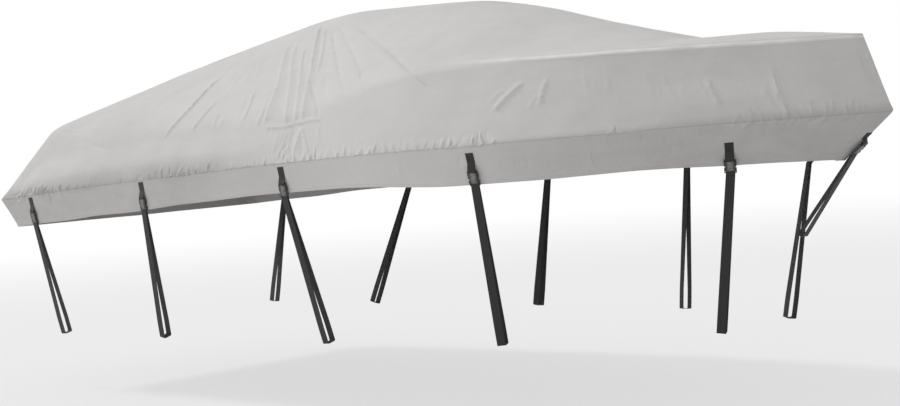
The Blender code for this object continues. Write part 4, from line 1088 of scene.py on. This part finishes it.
def loop_rows(tie, side, frame_of_tie):
    """Middle surface of a loop, a closed ring: over the clip's bar, down both legs and under the rail."""
    top, across, down, away = frame_of_tie
    bar = top + down * (tie["tab"] + CLIP_BAR) + away * BUCKLE_LIFT
    end = np.array(tie["end"]) * np.array([1, -side, 1])
    leg = unit(end - bar)
    turn = np.radians(tie["turn"])
    rail = np.array([np.cos(turn), np.sin(turn) * side, 0] if tie["station"] < LENGTH else [0, 1.0, 0])
    rail = unit(rail - leg * rail.dot(leg)) * np.sign(rail.dot(across))
    fall = unit(leg - across * leg.dot(across))
    front = unit(away - fall * away.dot(fall))
    gap, depth = tie["loop"]
    half = (gap + WEBBING[1]) / 2
    outer = np.cross(rail, leg)
    outer *= np.sign(outer.dot(front))

    def leg_rows(sign):
        start = bar + sign * front * TURN_RADIUS
        knee = end - leg * depth + sign * outer * half
        return [(start + (knee - start) * u, unit(across + (rail - across) * u)) for u in LEG_SHARES]

    def corner_rows(sign):
        centre = end - leg * LOOP_CORNER + sign * outer * (half - LOOP_CORNER)
        return [(centre + LOOP_CORNER * (sign * outer * np.cos(a) + leg * np.sin(a)), rail)
                for a in np.radians((0, 22.5, 45, 67.5, 90))]

    over = [(bar + TURN_RADIUS * (front * np.cos(a) - fall * np.sin(a)), across)
            for a in np.radians((150, 120, 90, 60, 30))]
    path = over + leg_rows(1) + corner_rows(1) + corner_rows(-1)[::-1] + leg_rows(-1)[::-1]
    offsets = np.array([-1, 1]) * WEBBING[0] / 2
    return np.array([point + width * offsets[:, None] for point, width in path])


# half of a strap's outline: share of its half width, share of its half thickness
STRAP_EDGE = ((-1.0, 0.0), (-0.992, 0.55), (-0.972, 0.88), (-0.94, 1.0), (-0.5, 1.0), (0.0, 1.0), (0.5, 1.0),
              (0.94, 1.0), (0.972, 0.88), (0.992, 0.55), (1.0, 0.0))


def strap(name, rows, look, steps, ring=False):
    """Webbing carried along rows of points across it: a flat section with rounded edges, capped or a ring."""
    middle = smooth_path(rows, steps, ring)
    ahead = np.roll(middle, -1, axis=0) - np.roll(middle, 1, axis=0)
    if not ring:
        ahead[0], ahead[-1] = middle[1] - middle[0], middle[-1] - middle[-2]
    normal = unit(np.cross(ahead, np.gradient(middle, axis=1)))
    outline = np.array(STRAP_EDGE + tuple((-x, -h) for x, h in STRAP_EDGE[1:-1]))
    share = (outline[:, 0] + 1) / 2 * (middle.shape[1] - 1)
    low = np.clip(share.astype(int), 0, middle.shape[1] - 2)
    t = (share - low)[None, :, None]
    place = middle[:, low] * (1 - t) + middle[:, low + 1] * t
    lean = unit(normal[:, low] * (1 - t) + normal[:, low + 1] * t)
    points = place + lean * (outline[:, 1] * WEBBING[1] / 2)[None, :, None]
    length = np.concatenate([[0], np.cumsum(np.linalg.norm(np.diff(middle.mean(axis=1), axis=0), axis=-1))])
    count, around = points.shape[:2]
    ids = numbered((count, around))
    ids = np.concatenate([ids, ids[:, :1]], axis=1)
    if ring:
        ids = np.concatenate([ids, ids[:1]])
    faces = turned(grid_quads(ids))
    if not ring:
        faces += [ids[0, :-1].tolist(), ids[-1, :-1][::-1].tolist()]
    flat = np.stack([np.broadcast_to(outline[:, 0] * WEBBING[0] / 2, (count, around)),
                     np.broadcast_to(length[:, None], (count, around))], axis=-1)
    return make_piece(name, points.reshape(-1, 3), faces, flat.reshape(-1, 2), look, smooth_below=60)


def prism(outline, low, high, hole=()):
    """Points and faces of a plate between two heights, with at most one hole of as many points."""
    loops = [outline, hole] if len(hole) else [outline]
    points = [(x, y, z) for z in (low, high) for loop in loops for x, y in loop]
    count, layer = len(outline), len(outline) * len(loops)
    following = [(i, (i + 1) % count) for i in range(count)]
    faces = [[i, j, j + layer, i + layer] for i, j in following]
    if len(hole):
        faces += [[count + j, count + i, count + i + layer, count + j + layer] for i, j in following]
        faces += [[i, count + i, count + j, j] for i, j in following]
        faces += [[layer + i, layer + j, layer + count + j, layer + count + i] for i, j in following]
    else:
        faces += [list(range(count))[::-1], list(range(count, 2 * count))]
    return np.array(points), faces


def rectangle(x0, y0, x1, y1):
    """Corners of a rectangle, anticlockwise from the first."""
    return [(x0, y0), (x1, y0), (x1, y1), (x0, y1)]


def bar_frame(bar_y, inside):
    """Thin frame round a bar: outline and slot. inside is the y of its far member, past the slot."""
    half = BUCKLE_WIDTH / 2
    toward = np.sign(inside - bar_y)
    ends = sorted((bar_y - toward * BAR / 2, inside))
    slot = sorted((bar_y + toward * BAR / 2, bar_y + toward * (BAR / 2 + SLOT)))
    return rectangle(-half, ends[0], half, ends[1]), rectangle(-half + RIM, slot[0], half - RIM, slot[1])


def both_faces(outline, base, rise, sunk=0.001):
    """A low raised shape on the front and the back of a plate, sunk into it."""
    return [prism(outline, base - sunk, base + rise), prism(outline, -base - rise, -base + sunk)]


def mirrored(right):
    """Closed outline from its points on the right, and the same on the left in reverse."""
    return right + [(-x, y) for x, y in right[::-1]]


def socket_parts():
    """Socket: framed bar, wide head, core between the prongs, raised panel and a grip rib."""
    half, core, plate = BUCKLE_WIDTH / 2, BUCKLE_CORE_WIDTH / 2, BUCKLE_THICKNESS / 2 - SKIN
    head = BAR / 2 + SLOT
    parts = [prism(mirrored([(half - BUCKLE_BEVEL, head), (half, head + BUCKLE_BEVEL), (half, SOCKET_NECK),
                             (core, SOCKET_NECK), (core, SOCKET_END)]), -plate, plate)]
    outline, slot = bar_frame(0.0, head + BUCKLE_BEVEL)
    parts.append(prism(outline, -BAR / 2, BAR / 2, slot))
    panel = rectangle(-core + 0.003, SOCKET_NECK + 0.002, core - 0.003, SOCKET_END - 0.004)
    rib = rectangle(-half + 0.005, head + 0.0032, half - 0.005, head + 0.0058)
    return parts + both_faces(panel, plate, 0.0009) + both_faces(rib, plate, 0.0007)


def clip_parts():
    """Clip: shoulder, two prongs with swollen heads and grip ribs, and its framed bar."""
    half, core, plate = BUCKLE_WIDTH / 2, BUCKLE_CORE_WIDTH / 2 + FIT, BUCKLE_THICKNESS / 2 - SKIN
    start, tip, prong = SOCKET_END + FIT, SOCKET_NECK + FIT, core + PRONG_WIDTH
    lead, head, shoulder = (tip + length for length in PRONG_HEAD)
    right = [(core, start), (core, tip), (prong, tip), (half, lead), (half, head), (prong, shoulder),
             (prong, start - BUCKLE_BEVEL), (half, start)]
    left = [(-x, y) for x, y in right[::-1]]
    parts = [prism([(half, CLIP_SHOULDER), (-half, CLIP_SHOULDER)] + left + right, -plate, plate)]
    outline, slot = bar_frame(CLIP_BAR, CLIP_SHOULDER - BUCKLE_BEVEL)
    parts.append(prism(outline, -BAR / 2, BAR / 2, slot))
    ribs = [(-half + 0.004, half - 0.004, start + rib) for rib in (0.0016, 0.0048)]
    for side in (-1, 1):
        left, right = sorted((side * (core + 0.002), side * (half - 0.0022)))
        ribs += [(left, right, lead + rib) for rib in (0.0012, 0.0045)]
    for left, right, y in ribs:
        parts += both_faces(rectangle(left, y, right, y + RIB_WIDTH), plate, 0.0006)
    return parts


def buckle_half(name, parts, place, look):
    """One moulded half of a buckle: its parts in one mesh with rounded edges."""
    faces, done = [], 0
    for points, part_faces in parts:
        faces += [[i + done for i in face] for face in part_faces]
        done += len(points)
    points = np.concatenate([points for points, _ in parts])
    across, down, away, top = place
    made = make_piece(name, top + points @ np.stack([across, down, away]), faces, points[:, :2], look)
    rounding = made.modifiers.new("edges", "BEVEL")
    rounding.width = ROUNDING
    rounding.segments = 2
    rounding.limit_method = "ANGLE"
    rounding.angle_limit = np.radians(40)
    rounding.harden_normals = True
    # the bevels' own normals shade it, so no edge stays marked sharp
    made.data.shade_smooth()
    return made


def dress(piece, node):
    """Lets a piece stand for its CAD node, on the part's one body."""
    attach(piece, "root")
    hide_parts(node)


def add_tie(tie, side, suffix, looks):
    """One tie: the tab sewn to the skirt, the two halves of its buckle and the loop under the rail."""
    points, out = tie_patch(tie, side)
    measured = tie_frame(points, out)
    top, across, down, away = measured
    dress(strap("tie_tab" + suffix, tab_rows(tie, points, out, measured), looks["webbing"], 3),
          "tab" + suffix)
    dress(strap("tie_loop" + suffix, loop_rows(tie, side, measured), looks["webbing"], 3, ring=True),
          "loop" + suffix)
    place = (across, down, away, top + down * tie["tab"] + away * BUCKLE_LIFT)
    for kind, parts in (("socket", socket_parts()), ("clip", clip_parts())):
        half = buckle_half("buckle_" + kind + suffix, parts, place, looks["buckle"])
        dress(half, kind + suffix)


# ---- the object
looks = {
    "panel": canvas("panel_canvas", "panel", colour(208, 206, 204), colour(198, 196, 193), (0.006, 0.011),
                    (-0.0035, -0.0095)),
    # the skirt is the panel's cloth painted a little darker: painted shade below the gunwale
    "skirt": canvas("skirt_canvas", "skirt", colour(203, 200, 198), colour(190, 186, 184), (0.004, 0.018)),
    "webbing": webbing_look("black_webbing", colour(38, 37, 36), colour(84, 81, 78)),
    "buckle": moulded_look("moulded_nylon", colour(52, 51, 51), colour(138, 136, 134)),
}
for side, suffix in ((1, "_starboard"), (-1, "_port")):
    panel, area = add_panel(side, looks["panel"], suffix)
    dress(panel, "panel" + suffix)
    skirt, area = add_skirt(side, looks["skirt"], suffix)
    dress(skirt, "skirt" + suffix)
for number, (station, top, x, reach, z, turn) in enumerate(SIDE_TIES, start=1):
    for side, suffix in ((1, "_starboard_"), (-1, "_port_")):
        tie = dict(SIDE_TIE, station=station, top=top, end=(x, reach, z), turn=turn)
        add_tie(tie, side, suffix + str(number), looks)
add_tie(BOW_TIE, 1, "_bow", looks)


# ---- floor, light and camera
GROUND = -ORIGIN[2]
FLOOR_RADIUS = 90.0
FLOOR_SIDES = 96
FLOOR_FADE = (7.0, 24.0)         # distances over which the floor fades into the pale surroundings
FLOOR_GLOW = 0.60                # least share of the floor that looks as pale as its surroundings
FLOOR_TONE = (0.62, 0.62, 0.62, 1)
SURROUND = (1.0, 1.0, 1.0, 1)
SKY_TINT = (0.98, 0.99, 1.0, 1)
AMBIENT = 0.58
# name, direction towards the lamp, strength, spread in degrees, tint
LAMPS = (("key", (-0.636, -0.089, 0.766), 1.32, 10, (1.0, 1.0, 0.995)),
         ("low", (-0.696, -0.696, 0.174), 0.36, 20, (1.0, 1.0, 1.0)),
         ("fill", (0.15, -0.97, 0.20), 0.32, 60, (1.0, 1.0, 1.0)))
# boat axes in metres, turns in degrees, focal length and optical centre in picture points
CAMERA = {"place": (11.2407, -8.3732, 1.5679), "yaw": 43.5406, "pitch": -2.6239, "roll": -4.0973,
          "focus": 1824.46, "centre": (452.59, 220.35)}
PICTURE = (900, 406)
SENSOR = 36                      # width in millimetres


def add_floor():
    """Pale round floor. The camera sees it turn into its surroundings; light sees it plain."""
    rim = np.linspace(0, 2 * np.pi, FLOOR_SIDES + 1)[:-1]
    mesh = bpy.data.meshes.new("floor")
    mesh.from_pydata([(FLOOR_RADIUS * np.cos(a), FLOOR_RADIUS * np.sin(a), GROUND) for a in rim], [],
                     [list(range(FLOOR_SIDES))])
    floor = bpy.data.objects.new("floor", mesh)
    bpy.context.scene.collection.objects.link(floor)
    nodes = Nodes("pale_floor")
    level = nodes.stretched(nodes.place(), (1.0, 1.0, 0.0))
    away = nodes.add("VectorMath", {"operation": "LENGTH"}, i0=level).outputs["Value"]
    seen = nodes.add("LightPath").outputs["Is Camera Ray"]
    share = nodes.times(seen, nodes.ramp(away, *FLOOR_FADE, FLOOR_GLOW, 1.0))
    nodes.join(FLOOR_TONE, nodes.shader.inputs["Base Color"])
    nodes.join(0.9, nodes.shader.inputs["Roughness"])
    glow = nodes.add("Emission", Color=SURROUND, Strength=1.0)
    blend = nodes.add("MixShader", i0=share, i1=nodes.shader.outputs[0], i2=glow.outputs[0])
    nodes.join(blend.outputs[0], nodes.tree.nodes["Material Output"].inputs["Surface"])
    mesh.materials.append(nodes.material)


def upright(right, up, back):
    """Matrix of an object from its own three axes."""
    return Matrix(np.stack([right, up, back], axis=1).tolist()).to_4x4()


def add_light():
    """Surroundings that look white to the camera and light the cover more dimly, and soft lamps."""
    world = bpy.data.worlds.new("surroundings")
    world.use_nodes = True
    tree = world.node_tree
    backdrop = tree.nodes["Background"]
    backdrop.inputs["Color"].default_value = SURROUND
    backdrop.inputs["Strength"].default_value = 1.0
    dim = tree.nodes.new("ShaderNodeBackground")
    dim.inputs["Color"].default_value = SKY_TINT
    dim.inputs["Strength"].default_value = AMBIENT
    seen = tree.nodes.new("ShaderNodeLightPath")
    blend = tree.nodes.new("ShaderNodeMixShader")
    tree.links.new(seen.outputs["Is Camera Ray"], blend.inputs[0])
    tree.links.new(dim.outputs[0], blend.inputs[1])
    tree.links.new(backdrop.outputs[0], blend.inputs[2])
    tree.links.new(blend.outputs[0], tree.nodes["World Output"].inputs["Surface"])
    bpy.context.scene.world = world
    for name, toward, strength, spread, tint in LAMPS:
        data = bpy.data.lights.new(name, "SUN")
        data.energy = strength
        data.angle = np.radians(spread)
        data.color = tint
        lamp = bpy.data.objects.new(name, data)
        back = unit(np.array(toward))
        right = unit(np.cross((0, 0, 1), back))
        lamp.matrix_world = upright(right, np.cross(back, right), back)
        bpy.context.scene.collection.objects.link(lamp)


def add_camera():
    """Camera from its place, its turns, and the focal length and centre of its picture."""
    yaw, pitch, roll = np.radians([CAMERA["yaw"], CAMERA["pitch"], CAMERA["roll"]])
    ahead = np.array([-np.sin(yaw) * np.cos(pitch), np.cos(yaw) * np.cos(pitch), np.sin(pitch)])
    right = np.array([np.cos(yaw), np.sin(yaw), 0.0])
    up = np.cross(right, ahead)
    data = bpy.data.cameras.new("camera")
    data.sensor_fit = "HORIZONTAL"
    data.sensor_width = SENSOR
    data.lens = CAMERA["focus"] / PICTURE[0] * SENSOR
    data.shift_x = -(CAMERA["centre"][0] - PICTURE[0] / 2) / PICTURE[0]
    data.shift_y = (CAMERA["centre"][1] - PICTURE[1] / 2) / PICTURE[0]
    data.clip_end = 300
    camera = bpy.data.objects.new("camera", data)
    rolled_right = right * np.cos(roll) + up * np.sin(roll)
    rolled_up = up * np.cos(roll) - right * np.sin(roll)
    matrix = upright(rolled_right, rolled_up, -ahead)
    matrix.translation = tuple(np.array(CAMERA["place"]) - ORIGIN)
    camera.matrix_world = matrix
    bpy.context.scene.collection.objects.link(camera)
    bpy.context.scene.camera = camera


add_floor()
add_light()
add_camera()
bpy.context.scene.view_settings.view_transform = "Standard"
